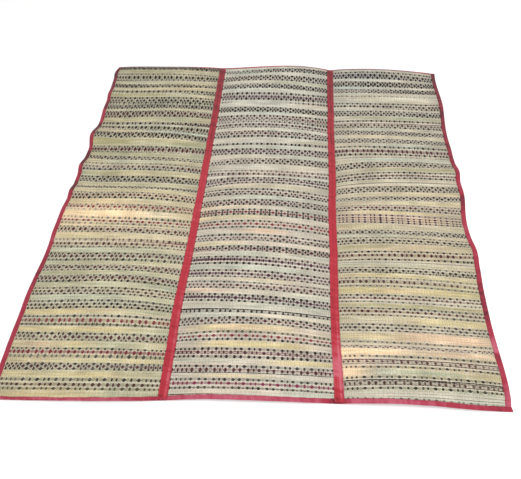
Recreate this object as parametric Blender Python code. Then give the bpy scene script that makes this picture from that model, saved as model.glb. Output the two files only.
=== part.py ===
"""A folding reed mat, opened out on the floor: three woven panels side by side, a red cloth
tape over each joint between them, and red cloth folded over the whole outer edge.

X runs across the panels, Y runs from the front edge to the back edge, and Z is up. The origin
is on the floor, under the middle of the mat. Lengths are in metres, and the tables that
describe how the mat lies are in millimetres.
"""

import math
from collections import namedtuple

import bmesh
import bpy
import numpy as np

MM = 0.001

# Thicknesses of the two kinds of cloth, and the room left between pieces that touch.
REED_CLOTH = 3.0 * MM
RED_CLOTH = 1.0 * MM
ROOM = 0.3 * MM

# What the binding adds outside the edge of the sheet that it is folded over.
OVER_EDGE = RED_CLOTH + ROOM

# Between two neighbouring panels, under the tape.
PANEL_JOINT = 1.0 * MM

# The tape is this wide, and the panels lie flat on the floor under its middle stretch.
TAPE_WIDTH = 33.0 * MM
FLAT_UNDER_TAPE = 20.0 * MM

# How far the side bindings reach in over the panels, and the strip in from each edge where the
# sheet lies level under its binding.
SIDE_REACH = {"left": 17.0 * MM, "right": 20.0 * MM}
LEVEL_STRIP = {"left": 18.5 * MM, "right": 21.5 * MM, "front": 19.5 * MM, "back": 10.0 * MM}

# Cloth past the panel's corner at the front right, where the front binding was cut a little long.
FRONT_BINDING_TAIL = 8.0 * MM

# The binding lifts the edge of the sheet, which sinks back to the floor over this width.
EDGE_LIFT_FADES = 90.0 * MM

# The swell of each panel between its two joints: where its crest lies, as a share of the
# width, where it has moved to at the back edge, and how round its shoulders are (1 is a sine,
# less is fuller).
CREST_AT = {"left": 0.64, "middle": 0.46, "right": 0.37}
CREST_AT_BACK = {"left": 0.6, "middle": 0.63, "right": 0.46}
CREST_MOVES_OVER = 150.0 * MM
SHOULDER = 0.85

# Grid lines of the solids, and how often the plan is corrected towards the slanting edges.
PANEL_COLUMNS = 10
PANEL_ROWS = 40
PLAN_PASSES = 4

# The mat as it lies, section by section from front to back, in millimetres: how far back the
# section is, where the outer edges and the two joints cross it, and how high each panel swells.
Section = namedtuple(
    "Section", "y left_edge left_joint right_joint right_edge swell_left swell_middle swell_right"
)
SECTIONS = [
    Section(-930, -918, -309, 312, 904, 4, 14, 14),
    Section(-865, -918, -309, 310, 917, 11, 15, 22),
    Section(-800, -918, -310, 309, 919, 11, 18, 25),
    Section(-700, -919, -310, 305, 914, 9, 32, 22),
    Section(-600, -918, -312, 304, 909, 25, 32, 16),
    Section(-520, -919, -311, 304, 909, 28, 31, 17),
    Section(-440, -914, -308, 305, 910, 24, 30, 18),
    Section(-360, -907, -305, 305, 915, 16, 31, 18),
    Section(-290, -906, -303, 307, 917, 10, 34, 17),
    Section(-230, -910, -301, 306, 913, 8, 35, 15),
    Section(-170, -909, -300, 306, 906, 9, 36, 15),
    Section(-100, -908, -300, 306, 905, 12, 36, 17),
    Section(-50, -902, -299, 306, 910, 14, 35, 19),
    Section(0, -897, -298, 308, 918, 15, 34, 20),
    Section(100, -894, -297, 311, 919, 14, 31, 21),
    Section(200, -889, -296, 312, 918, 11, 26, 20),
    Section(270, -886, -295, 312, 912, 9, 24, 17),
    Section(330, -885, -295, 312, 911, 8, 22, 13),
    Section(400, -884, -294, 312, 907, 9, 21, 10),
    Section(470, -882, -293, 312, 907, 11, 20, 8),
    Section(550, -887, -292, 315, 913, 12, 21, 7),
    Section(620, -885, -293, 316, 917, 10, 22, 6),
    Section(700, -888, -293, 316, 920, 9, 24, 6),
    Section(800, -891, -293, 317, 914, 7, 25, 8),
    Section(860, -896, -292, 318, 912, 11, 26, 20),
    Section(920, -876, -292, 320, 915, 7, 25, 18),
]

# The front and back edges, and how far their bindings reach in over the panels there, in
# millimetres.
Edge = namedtuple("Edge", "x y reach")
FRONT_EDGE = [
    Edge(-918, -927, 12),
    Edge(-700, -925, 12),
    Edge(-500, -921, 13),
    Edge(-395, -917, 14),
    Edge(-290, -911, 16),
    Edge(-190, -906, 17),
    Edge(20, -905, 17),
    Edge(180, -905, 17),
    Edge(345, -904, 18),
    Edge(550, -903, 18),
    Edge(655, -906, 18),
    Edge(757, -911, 18),
    Edge(860, -913, 18),
    Edge(918, -913, 18),
]
BACK_EDGE = [
    Edge(-884, 903, 4),
    Edge(-850, 906, 4),
    Edge(-600, 908, 4),
    Edge(-292, 919, 7),
    Edge(20, 923, 7),
    Edge(320, 929, 6),
    Edge(600, 926, 7),
    Edge(915, 923, 8),
]

# Places where the outer edge waves up off the floor: the side, the middle of the wave along Y,
# half its length, its height, how far it bulges outwards and how far it runs in under the
# panel, in millimetres.
Wave = namedtuple("Wave", "side y half_length height bulge reach")
EDGE_WAVES = [
    Wave("left", 0, 48, 6, 4, 100),
    Wave("left", 153, 62, 8, 6, 110),
    Wave("left", 352, 88, 14, 11, 140),
    Wave("left", 668, 55, 4, 3, 90),
    Wave("right", -262, 75, 4, 3, 90),
    Wave("right", 60, 70, 4, 1, 90),
    Wave("right", 182, 62, 7, 4, 120),
    Wave("right", 640, 80, 3, 1, 90),
]

PANELS = ["left", "middle", "right"]
PANEL_LINES = {
    "left": ("left_edge", "left_joint"),
    "middle": ("left_joint", "right_joint"),
    "right": ("right_joint", "right_edge"),
}

# Colour (linear RGB) and roughness of each finish.
Finish = namedtuple("Finish", "colour roughness")
FINISHES = {
    "reed": Finish((0.46, 0.41, 0.26, 1.0), 0.6),
    "tape": Finish((0.48, 0.035, 0.065, 1.0), 0.85),
    "binding": Finish((0.34, 0.025, 0.045, 1.0), 0.85),
}


def blend(start, end, share):
    return start + (end - start) * share


def fade(distance, width):
    """1 at no distance, falling smoothly to 0 at the given width."""
    share = min(max(distance / width, 0.0), 1.0)
    return 1 - share * share * (3 - 2 * share)


def curve_through(rows, along, across):
    """A smooth curve through a table's points, as a function from metres to metres."""
    stops = np.array([getattr(row, along) for row in rows]) * MM
    values = np.array([getattr(row, across) for row in rows]) * MM
    slopes = np.gradient(values, stops)

    def value_at(place):
        place = min(max(place, stops[0]), stops[-1])
        index = min(int(np.searchsorted(stops, place, side="right")) - 1, len(stops) - 2)
        span = stops[index + 1] - stops[index]
        t = (place - stops[index]) / span
        start = (1 + 2 * t) * (1 - t) ** 2 * values[index] + t * (1 - t) ** 2 * span * slopes[index]
        end = t**2 * (3 - 2 * t) * values[index + 1] - t**2 * (1 - t) * span * slopes[index + 1]
        return float(start + end)

    return value_at


LINE_AT = {
    name: curve_through(SECTIONS, "y", name)
    for name in ("left_edge", "left_joint", "right_joint", "right_edge")
}
SWELL_AT = {panel: curve_through(SECTIONS, "y", "swell_" + panel) for panel in PANELS}
FRONT_AT = curve_through(FRONT_EDGE, "x", "y")
BACK_AT = curve_through(BACK_EDGE, "x", "y")
FRONT_REACH_AT = curve_through(FRONT_EDGE, "x", "reach")
BACK_REACH_AT = curve_through(BACK_EDGE, "x", "reach")


def waves_at(side, y, measure):
    """The height or the bulge that the waves of one side have at a place along it."""
    return sum(
        getattr(wave, measure) * MM * fade(abs(y - wave.y * MM), wave.half_length * MM)
        for wave in EDGE_WAVES
        if wave.side == side
    )


def panel_side(panel, right_hand, y):
    """X of a panel's cut edge: inside the binding on the outer edge, half a joint off its middle."""
    line = PANEL_LINES[panel][right_hand]
    inwards = -1 if right_hand else 1
    if line.endswith("joint"):
        return LINE_AT[line](y) + inwards * PANEL_JOINT / 2
    return LINE_AT[line](y) + inwards * (OVER_EDGE - waves_at(panel, y, "bulge"))


def plan(panel, u, v):
    """The place on the floor of a panel's point: u runs across the panel, v from front to back."""
    y = blend(SECTIONS[0].y, SECTIONS[-1].y, v) * MM
    for _ in range(PLAN_PASSES):
        x = blend(panel_side(panel, False, y), panel_side(panel, True, y), u)
        y = blend(FRONT_AT(x) + OVER_EDGE, BACK_AT(x) - OVER_EDGE, v)
    return x, y


HALF_WAY = 0.5
WIDTH = {panel: plan(panel, 1, HALF_WAY)[0] - plan(panel, 0, HALF_WAY)[0] for panel in PANELS}
LENGTH = plan("middle", HALF_WAY, 1)[1] - plan("middle", HALF_WAY, 0)[1]


def level_strip(panel, right_hand):
    """Share of a panel's width that stays level along one of its sides."""
    if PANEL_LINES[panel][right_hand].endswith("joint"):
        return (FLAT_UNDER_TAPE / 2) / WIDTH[panel]
    return LEVEL_STRIP[panel] / WIDTH[panel]


LEVEL_FRONT = LEVEL_STRIP["front"] / LENGTH
LEVEL_BACK = LEVEL_STRIP["back"] / LENGTH


def crown(panel, across, from_back):
    """The swell's shape across a panel, from 0 at its sides to 1 at its crest."""
    crest = blend(CREST_AT[panel], CREST_AT_BACK[panel], fade(from_back, CREST_MOVES_OVER))
    lean = math.log(0.5) / math.log(crest)
    return max(math.sin(math.pi * across**lean), 0.0) ** SHOULDER


def height(panel, u, v):
    """Height of a panel's underside over the floor."""
    near = level_strip(panel, False)
    far = level_strip(panel, True)
    u = min(max(u, near), 1 - far)
    v = min(max(v, LEVEL_FRONT), 1 - LEVEL_BACK)
    y = plan(panel, u, v)[1]
    from_front = (v - LEVEL_FRONT) * LENGTH
    from_back = (1 - LEVEL_BACK - v) * LENGTH
    settled = (1 - fade(from_front, EDGE_LIFT_FADES)) * (1 - fade(from_back, EDGE_LIFT_FADES))
    waves = 0.0
    if panel != "middle":
        from_side = (u - near if panel == "left" else 1 - far - u) * WIDTH[panel]
        settled *= 1 - fade(from_side, EDGE_LIFT_FADES)
        for wave in EDGE_WAVES:
            if wave.side == panel:
                along = fade(abs(y - wave.y * MM), wave.half_length * MM)
                waves += wave.height * MM * along * fade(from_side, wave.reach * MM)
    across = (u - near) / (1 - near - far)
    swell = SWELL_AT[panel](y) * crown(panel, across, from_back)
    return OVER_EDGE * (1 - settled) + waves + swell


def panel_columns(panel):
    """Grid lines across a panel: level strips at its sides, then closer lines where it bends."""
    half_tape = (TAPE_WIDTH / 2) / WIDTH[panel]
    start = [0.0, level_strip(panel, False)]
    end = [1 - level_strip(panel, True), 1.0]
    if panel != "left":
        start.append(half_tape)
    if panel != "right":
        end.insert(0, 1 - half_tape)
    steps = range(1, PANEL_COLUMNS)
    inner = [(1 - math.cos(math.pi * step / PANEL_COLUMNS)) / 2 for step in steps]
    return start + [blend(start[-1], end[0], share) for share in inner] + end


def panel_rows():
    """Grid lines along a panel, with one at the inner edge of each level strip."""
    inner = [blend(LEVEL_FRONT, 1 - LEVEL_BACK, step / PANEL_ROWS) for step in range(PANEL_ROWS + 1)]
    return [0.0] + inner + [1.0]


def finish_object(name, mesh, finish):
    """Turns a finished bmesh into a named object with its own material."""
    bmesh.ops.recalc_face_normals(mesh, faces=mesh.faces[:])
    data = bpy.data.meshes.new(name)
    mesh.to_mesh(data)
    mesh.free()
    material = bpy.data.materials.new(name + "_" + finish)
    material.use_nodes = True
    shader = material.node_tree.nodes["Principled BSDF"]
    shader.inputs["Base Color"].default_value = FINISHES[finish].colour
    shader.inputs["Roughness"].default_value = FINISHES[finish].roughness
    shader.inputs["Metallic"].default_value = 0.0
    data.materials.append(material)
    piece = bpy.data.objects.new(name, data)
    MAT.objects.link(piece)
    return piece


def laid_sheet(name, columns, rows, underside, thickness, finish):
    """A sheet of even thickness. Its grid is bent to the underside, then extruded upwards."""
    mesh = bmesh.new()
    across = len(columns) - 1
    along = len(rows) - 1
    half = 0.5
    bmesh.ops.create_grid(mesh, x_segments=across, y_segments=along, size=half)
    for vertex in mesh.verts:
        column = columns[round((vertex.co.x + half) * across)]
        row = rows[round((vertex.co.y + half) * along)]
        vertex.co = underside(column, row)
    grown = bmesh.ops.extrude_face_region(mesh, geom=mesh.faces[:])["geom"]
    top = [item for item in grown if isinstance(item, bmesh.types.BMVert)]
    bmesh.ops.translate(mesh, verts=top, vec=(0, 0, thickness))
    return finish_object(name, mesh, finish)


def folded_strip(name, stations, finish):
    """A strip folded over an edge: its section is one face, extruded from station to station."""
    mesh = bmesh.new()
    section = mesh.faces.new([mesh.verts.new(point) for point in stations[0]])
    passed = []
    for station in stations[1:]:
        passed.append(section)
        grown = bmesh.ops.extrude_face_region(mesh, geom=[section])["geom"]
        section = next(item for item in grown if isinstance(item, bmesh.types.BMFace))
        for vertex, point in zip(section.verts, station):
            vertex.co = point
    bmesh.ops.delete(mesh, geom=passed[1:], context="FACES_ONLY")
    return finish_object(name, mesh, finish)


def make_panel(panel):
    def underside(u, v):
        x, y = plan(panel, u, v)
        return x, y, height(panel, u, v)

    laid_sheet(
        "panel_" + panel, panel_columns(panel), panel_rows(), underside, REED_CLOTH, "reed"
    )


def rows_between_bindings(x):
    """Grid lines along Y of a piece that ends against the front and back bindings."""
    start = (FRONT_REACH_AT(x) + ROOM) / LENGTH
    end = 1 - (BACK_REACH_AT(x) + ROOM) / LENGTH
    return [start] + [row for row in panel_rows() if start < row < end] + [end]


def make_seam_tape(side, left_panel, right_panel):
    """The tape over a joint. It follows the panels beside it and dips between them."""
    half = TAPE_WIDTH / 2
    flat = FLAT_UNDER_TAPE / 2
    middle = LINE_AT[side + "_joint"](0.0)

    def underside(offset, v):
        panel = left_panel if offset < 0 else right_panel
        edge = 1.0 if offset < 0 else 0.0
        u = edge + offset / WIDTH[panel]
        x, y = plan(panel, u, v)
        if offset == 0:
            x = (plan(left_panel, 1.0, v)[0] + plan(right_panel, 0.0, v)[0]) / 2
        return x, y, height(panel, u, v) + REED_CLOTH + ROOM

    columns = [-half, -flat, 0.0, flat, half]
    rows = rows_between_bindings(middle)
    laid_sheet("seam_tape_" + side, columns, rows, underside, RED_CLOTH, "tape")


def fold_section(reach):
    """Corners of a folded strip as (distance in from the sheet's edge, height over its underside)."""
    return [
        (-OVER_EDGE, -OVER_EDGE),
        (reach, -OVER_EDGE),
        (reach, -ROOM),
        (-ROOM, -ROOM),
        (-ROOM, REED_CLOTH + ROOM),
        (reach, REED_CLOTH + ROOM),
        (reach, REED_CLOTH + OVER_EDGE),
        (-OVER_EDGE, REED_CLOTH + OVER_EDGE),
    ]


def make_side_binding(panel):
    """The strip along a side, from the front binding to the back one."""
    right_hand = panel == "right"
    edge = 1.0 if right_hand else 0.0
    inwards = -1 if right_hand else 1
    stations = []
    for v in rows_between_bindings(plan(panel, edge, 0)[0]):
        level = height(panel, edge, v)
        station = []
        for distance, rise in fold_section(SIDE_REACH[panel]):
            x, y = plan(panel, edge + inwards * distance / WIDTH[panel], v)
            station.append((x, y, level + rise))
        stations.append(station)
    folded_strip("binding_" + panel, stations, "binding")


def make_end_binding(end, reach_at, edge, inwards, tail):
    """The strip along the front or the back, over all three panels and the side strips' ends."""
    stations = []
    for panel in PANELS:
        columns = panel_columns(panel)
        if panel == "left":
            columns[0] = -OVER_EDGE / WIDTH[panel]
        if panel == "right":
            columns[-1] = 1 + tail / WIDTH[panel]
        for u in columns:
            level = height(panel, u, edge)
            station = []
            for distance, rise in fold_section(reach_at(plan(panel, u, edge)[0])):
                x, y = plan(panel, u, edge + inwards * distance / LENGTH)
                station.append((x, y, level + rise))
            stations.append(station)
    folded_strip("binding_" + end, stations, "binding")


for old in list(bpy.data.objects):
    bpy.data.objects.remove(old, do_unlink=True)
MAT = bpy.data.collections.new("reed_mat")
bpy.context.scene.collection.children.link(MAT)

for each in PANELS:
    make_panel(each)
make_seam_tape("left", "left", "middle")
make_seam_tape("right", "middle", "right")
make_side_binding("left")
make_side_binding("right")
make_end_binding("front", FRONT_REACH_AT, 0.0, 1, FRONT_BINDING_TAIL)
make_end_binding("back", BACK_REACH_AT, 1.0, -1, OVER_EDGE)
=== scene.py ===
# %% [markdown]
# # A folding reed mat, opened out on the floor
#
# The real mat is three woven panels laid side by side. Flat reeds run across each panel, and
# cotton threads run along it and hold them. A red cloth tape is sewn over each of the two
# joints, where the mat folds, and a red cloth strip is folded over the whole outer edge. The
# solids of the mat are loaded first, because every piece made here has to lie where they lie.

# %% Load the solids
import math
from collections import namedtuple

import bmesh
import bpy
import numpy as np
from mathutils import Matrix, Vector


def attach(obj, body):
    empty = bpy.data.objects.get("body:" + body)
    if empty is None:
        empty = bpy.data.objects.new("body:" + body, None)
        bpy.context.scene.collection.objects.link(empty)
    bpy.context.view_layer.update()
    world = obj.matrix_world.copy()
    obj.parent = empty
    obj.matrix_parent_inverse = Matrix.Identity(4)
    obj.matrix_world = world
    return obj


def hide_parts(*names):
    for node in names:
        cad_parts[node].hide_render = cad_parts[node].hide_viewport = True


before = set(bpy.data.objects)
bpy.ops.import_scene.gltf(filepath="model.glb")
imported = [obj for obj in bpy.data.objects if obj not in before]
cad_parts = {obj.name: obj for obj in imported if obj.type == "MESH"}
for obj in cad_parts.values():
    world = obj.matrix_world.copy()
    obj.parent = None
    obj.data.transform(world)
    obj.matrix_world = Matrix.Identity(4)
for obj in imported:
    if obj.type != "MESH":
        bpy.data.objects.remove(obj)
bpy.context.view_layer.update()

# %% [markdown]
# ## Sizes
#
# A mat is planned from a few sizes that a maker would know: how thick the reed cloth and the red
# cloth are, how wide the tape is cut, how far the binding reaches in. They are the same sizes as
# the solids have, so the fine pieces made from them land in the same places.

# %% Sizes of the mat, in metres
MM = 0.001
REED_CLOTH = 3.0 * MM
RED_CLOTH = 1.0 * MM
ROOM = 0.3 * MM
OVER_EDGE = RED_CLOTH + ROOM
PANEL_JOINT = 1.0 * MM
TAPE_WIDTH = 33.0 * MM
FLAT_UNDER_TAPE = 20.0 * MM
SIDE_REACH = {"left": 17.0 * MM, "right": 20.0 * MM}
LEVEL_STRIP = {"left": 18.5 * MM, "right": 21.5 * MM, "front": 19.5 * MM, "back": 10.0 * MM}
FRONT_BINDING_TAIL = 8.0 * MM
EDGE_LIFT_FADES = 90.0 * MM
CREST_AT = {"left": 0.64, "middle": 0.46, "right": 0.37}
CREST_AT_BACK = {"left": 0.6, "middle": 0.63, "right": 0.46}
CREST_MOVES_OVER = 150.0 * MM
SHOULDER = 0.85
PLAN_PASSES = 4
PANELS = ["left", "middle", "right"]
PANEL_LINES = {
    "left": ("left_edge", "left_joint"),
    "middle": ("left_joint", "right_joint"),
    "right": ("right_joint", "right_edge"),
}

# %% [markdown]
# ## How the mat lies
#
# An opened mat never lies quite flat: each panel swells a little between its joints, the outer
# edges wander, and here and there an edge waves up off the floor. A table of sections holds that,
# with one row for each stretch of the mat, and a smooth curve runs through each column of it.
# A table that is read by eye is easier to correct than a surface that was pushed by hand.

# %% The sections from front to back, in millimetres
Section = namedtuple(
    "Section", "y left_edge left_joint right_joint right_edge swell_left swell_middle swell_right"
)
SECTIONS = [
    Section(-930, -918, -309, 312, 904, 4, 14, 14),
    Section(-865, -918, -309, 310, 917, 11, 15, 22),
    Section(-800, -918, -310, 309, 919, 11, 18, 25),
    Section(-700, -919, -310, 305, 914, 9, 32, 22),
    Section(-600, -918, -312, 304, 909, 25, 32, 16),
    Section(-520, -919, -311, 304, 909, 28, 31, 17),
    Section(-440, -914, -308, 305, 910, 24, 30, 18),
    Section(-360, -907, -305, 305, 915, 16, 31, 18),
    Section(-290, -906, -303, 307, 917, 10, 34, 17),
    Section(-230, -910, -301, 306, 913, 8, 35, 15),
    Section(-170, -909, -300, 306, 906, 9, 36, 15),
    Section(-100, -908, -300, 306, 905, 12, 36, 17),
    Section(-50, -902, -299, 306, 910, 14, 35, 19),
    Section(0, -897, -298, 308, 918, 15, 34, 20),
    Section(100, -894, -297, 311, 919, 14, 31, 21),
    Section(200, -889, -296, 312, 918, 11, 26, 20),
    Section(270, -886, -295, 312, 912, 9, 24, 17),
    Section(330, -885, -295, 312, 911, 8, 22, 13),
    Section(400, -884, -294, 312, 907, 9, 21, 10),
    Section(470, -882, -293, 312, 907, 11, 20, 8),
    Section(550, -887, -292, 315, 913, 12, 21, 7),
    Section(620, -885, -293, 316, 917, 10, 22, 6),
    Section(700, -888, -293, 316, 920, 9, 24, 6),
    Section(800, -891, -293, 317, 914, 7, 25, 8),
    Section(860, -896, -292, 318, 912, 11, 26, 20),
    Section(920, -876, -292, 320, 915, 7, 25, 18),
]
print("sections:", len(SECTIONS))

# %% The front and back edges, and how far their bindings reach in, in millimetres
Edge = namedtuple("Edge", "x y reach")
FRONT_EDGE = [
    Edge(-918, -927, 12),
    Edge(-700, -925, 12),
    Edge(-500, -921, 13),
    Edge(-395, -917, 14),
    Edge(-290, -911, 16),
    Edge(-190, -906, 17),
    Edge(20, -905, 17),
    Edge(180, -905, 17),
    Edge(345, -904, 18),
    Edge(550, -903, 18),
    Edge(655, -906, 18),
    Edge(757, -911, 18),
    Edge(860, -913, 18),
    Edge(918, -913, 18),
]
BACK_EDGE = [
    Edge(-884, 903, 4),
    Edge(-850, 906, 4),
    Edge(-600, 908, 4),
    Edge(-292, 919, 7),
    Edge(20, 923, 7),
    Edge(320, 929, 6),
    Edge(600, 926, 7),
    Edge(915, 923, 8),
]
print("edge points:", len(FRONT_EDGE) + len(BACK_EDGE))

# %% Places where an outer edge waves up off the floor, in millimetres
Wave = namedtuple("Wave", "side y half_length height bulge reach")
EDGE_WAVES = [
    Wave("left", 0, 48, 6, 4, 100),
    Wave("left", 153, 62, 8, 6, 110),
    Wave("left", 352, 88, 14, 11, 140),
    Wave("left", 668, 55, 4, 3, 90),
    Wave("right", -262, 75, 4, 3, 90),
    Wave("right", 60, 70, 4, 1, 90),
    Wave("right", 182, 62, 7, 4, 120),
    Wave("right", 640, 80, 3, 1, 90),
]
print("waves:", len(EDGE_WAVES))

# %% [markdown]
# A curve through a table's points could be a curve object, but a short formula does the same for
# thousands of places at once: each stretch between two points is a cubic that leaves and arrives
# with the slopes of the table. All the helpers below take whole arrays of places.


# %% Smooth curves through the tables
def blend(start, end, share):
    return start + (end - start) * share


def fade(distance, width):
    """1 at no distance, falling smoothly to 0 at the given width."""
    share = np.clip(distance / width, 0.0, 1.0)
    return 1 - share * share * (3 - 2 * share)


def curve_through(rows, along, across, unit=MM):
    """A smooth curve through a table's points, from metres to the given unit."""
    stops = np.array([getattr(row, along) for row in rows]) * MM
    values = np.array([getattr(row, across) for row in rows]) * unit
    slopes = np.gradient(values, stops)

    def value_at(place):
        place = np.clip(place, stops[0], stops[-1])
        index = np.clip(np.searchsorted(stops, place, side="right") - 1, 0, len(stops) - 2)
        span = stops[index + 1] - stops[index]
        t = (place - stops[index]) / span
        start = (1 + 2 * t) * (1 - t) ** 2 * values[index] + t * (1 - t) ** 2 * span * slopes[index]
        end = t**2 * (3 - 2 * t) * values[index + 1] - t**2 * (1 - t) * span * slopes[index + 1]
        return start + end

    return value_at


LINE_AT = {
    name: curve_through(SECTIONS, "y", name)
    for name in ("left_edge", "left_joint", "right_joint", "right_edge")
}
SWELL_AT = {panel: curve_through(SECTIONS, "y", "swell_" + panel) for panel in PANELS}
FRONT_AT = curve_through(FRONT_EDGE, "x", "y")
BACK_AT = curve_through(BACK_EDGE, "x", "y")
FRONT_REACH_AT = curve_through(FRONT_EDGE, "x", "reach")
BACK_REACH_AT = curve_through(BACK_EDGE, "x", "reach")
print("mat from", round(float(FRONT_AT(0.0)), 3), "to", round(float(BACK_AT(0.0)), 3), "m along its middle")


# %% [markdown]
# ## The surface of a panel
#
# Every piece of the mat is placed by two shares of a panel: u runs across it, from its left side
# to its right, and v runs along it, from front to back. One function gives the place on the
# floor and another the height of the underside there. The tapes and the bindings use the same
# two functions, so they follow the panels wherever these swell or wave.


# %% Place of a point of a panel
def panel_side(panel, right_hand, y):
    """X of a panel's cut edge, inside the binding or half a joint off the joint's middle."""
    line = PANEL_LINES[panel][right_hand]
    inwards = -1 if right_hand else 1
    if line.endswith("joint"):
        return LINE_AT[line](y) + inwards * PANEL_JOINT / 2
    bulge = sum(
        wave.bulge * MM * fade(abs(y - wave.y * MM), wave.half_length * MM)
        for wave in EDGE_WAVES
        if wave.side == panel
    )
    return LINE_AT[line](y) + inwards * (OVER_EDGE - bulge)


def plan(panel, u, v):
    """The place on the floor of a panel's point."""
    y = blend(SECTIONS[0].y, SECTIONS[-1].y, v) * MM
    for _ in range(PLAN_PASSES):
        x = blend(panel_side(panel, False, y), panel_side(panel, True, y), u)
        y = blend(FRONT_AT(x) + OVER_EDGE, BACK_AT(x) - OVER_EDGE, v)
    return x, y


HALF_WAY = 0.5
WIDTH = {
    panel: float(plan(panel, 1.0, HALF_WAY)[0] - plan(panel, 0.0, HALF_WAY)[0]) for panel in PANELS
}
LENGTH = float(plan("middle", HALF_WAY, 1.0)[1] - plan("middle", HALF_WAY, 0.0)[1])
widths = {panel: round(width, 4) for panel, width in WIDTH.items()}
print("panel widths:", widths, "length:", round(LENGTH, 4))

# %% Height of a point of a panel
LEVEL_FRONT = LEVEL_STRIP["front"] / LENGTH
LEVEL_BACK = LEVEL_STRIP["back"] / LENGTH


def level_strip(panel, right_hand):
    """Share of a panel's width that stays level along one of its sides."""
    if PANEL_LINES[panel][right_hand].endswith("joint"):
        return (FLAT_UNDER_TAPE / 2) / WIDTH[panel]
    return LEVEL_STRIP[panel] / WIDTH[panel]


def crown(panel, across, from_back):
    """The swell's shape across a panel, from 0 at its sides to 1 at its crest."""
    crest = blend(CREST_AT[panel], CREST_AT_BACK[panel], fade(from_back, CREST_MOVES_OVER))
    lean = math.log(0.5) / np.log(crest)
    return np.maximum(np.sin(math.pi * across**lean), 0.0) ** SHOULDER


def height(panel, u, v):
    """Height of a panel's underside over the floor."""
    near = level_strip(panel, False)
    far = level_strip(panel, True)
    u = np.clip(u, near, 1 - far)
    v = np.clip(v, LEVEL_FRONT, 1 - LEVEL_BACK)
    y = plan(panel, u, v)[1]
    from_front = (v - LEVEL_FRONT) * LENGTH
    from_back = (1 - LEVEL_BACK - v) * LENGTH
    settled = (1 - fade(from_front, EDGE_LIFT_FADES)) * (1 - fade(from_back, EDGE_LIFT_FADES))
    waves = 0.0
    if panel != "middle":
        from_side = (u - near if panel == "left" else 1 - far - u) * WIDTH[panel]
        settled = settled * (1 - fade(from_side, EDGE_LIFT_FADES))
        for wave in EDGE_WAVES:
            if wave.side == panel:
                along = fade(abs(y - wave.y * MM), wave.half_length * MM)
                waves = waves + wave.height * MM * along * fade(from_side, wave.reach * MM)
    across = np.clip((u - near) / (1 - near - far), 0.0, 1.0)
    swell = SWELL_AT[panel](y) * crown(panel, across, from_back)
    return OVER_EDGE * (1 - settled) + waves + swell


crest = float(height("middle", HALF_WAY, HALF_WAY))
print("the middle panel stands", round(crest / MM, 1), "mm off the floor halfway along")

# %% [markdown]
# ## The camera
#
# The camera stands in front of the mat at the height of a grown person's eyes and looks down at
# it. Its place was worked out from the mat's four corners and the ends of the tapes, so that a
# render can be laid over the photograph. The sideways shift stands for a picture that was cut off
# centre. It is made before the pieces, so that each can be looked at from there as it is added.

# %% Camera
EYE = (0.12117, -1.25635, 1.60965)
LOOKS_DOWN = 1.00222
TURNED_LEFT = 0.00934
TILTED = 0.02261
LENS = 30.5
SIDEWAYS_SHIFT = -0.0528
NEAREST_SEEN = 0.05

camera_data = bpy.data.cameras.new("camera")
camera_data.lens = LENS
camera_data.shift_x = SIDEWAYS_SHIFT
camera_data.clip_start = NEAREST_SEEN
camera = bpy.data.objects.new("camera", camera_data)
bpy.context.scene.collection.objects.link(camera)
camera.matrix_world = (
    Matrix.Translation(EYE)
    @ Matrix.Rotation(TURNED_LEFT, 4, "Z")
    @ Matrix.Rotation(math.pi / 2 - LOOKS_DOWN, 4, "X")
    @ Matrix.Rotation(TILTED, 4, "Z")
)
bpy.context.scene.camera = camera
print("camera", [round(x, 2) for x in EYE], "looks", round(math.degrees(LOOKS_DOWN), 1), "degrees down")

# %% [markdown]
# ## The weave
#
# In this kind of mat the reeds are laid in two sheds that take turns. At one set of columns the
# reeds of the first shed lie on top and those of the second are hidden, and at the columns
# between them it is the other way round. The columns come in a rhythm of wide and narrow ones:
# two narrow, then wide, narrow, wide. Dyed reeds therefore show as rows of dashes.
#
# Each column becomes one line of points across the panel, and each reed two lines along it, one
# where it rises and one where it passes under. That is all a grid needs to carry the weave.

# %% Columns of the weave, in millimetres
NARROW = 8.0
WIDE = 18.0
GAP_BESIDE_NARROW = 8.0
GAP_BESIDE_WIDE = 13.0
OUTER_GAP = 21.0
RHYTHM = "nnnn" + "WnW" + "nnWnW" * 3 + "nnnn"

Column = namedtuple("Column", "middle half_width")


def weave_columns():
    """The middle and the half width of each column, the first shed's counted as positive."""
    found = [Column(OUTER_GAP / 2, -OUTER_GAP / 2)]
    edge = OUTER_GAP
    for number, kind in enumerate(RHYTHM):
        width = WIDE if kind == "W" else NARROW
        found.append(Column(edge + width / 2, width / 2))
        edge += width
        beside = RHYTHM[number : number + 2]
        gap = GAP_BESIDE_WIDE if "W" in beside else GAP_BESIDE_NARROW
        if number == len(RHYTHM) - 1:
            gap = OUTER_GAP
        found.append(Column(edge + gap / 2, -gap / 2))
        edge += gap
    return found, edge


COLUMNS, WEAVE_WIDTH = weave_columns()
print("columns:", len(COLUMNS), "over", WEAVE_WIDTH, "mm")

# %% Lines of points across a panel
# How many millimetres the columns are moved to the right, at a panel's left and right side. The
# binding of the right panel covers part of its outer columns.
COLUMNS_MOVED = {"left": (0, 8), "middle": (5, 5), "right": (-12, 12)}
OUTERMOST_COLUMN = 0.004


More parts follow.
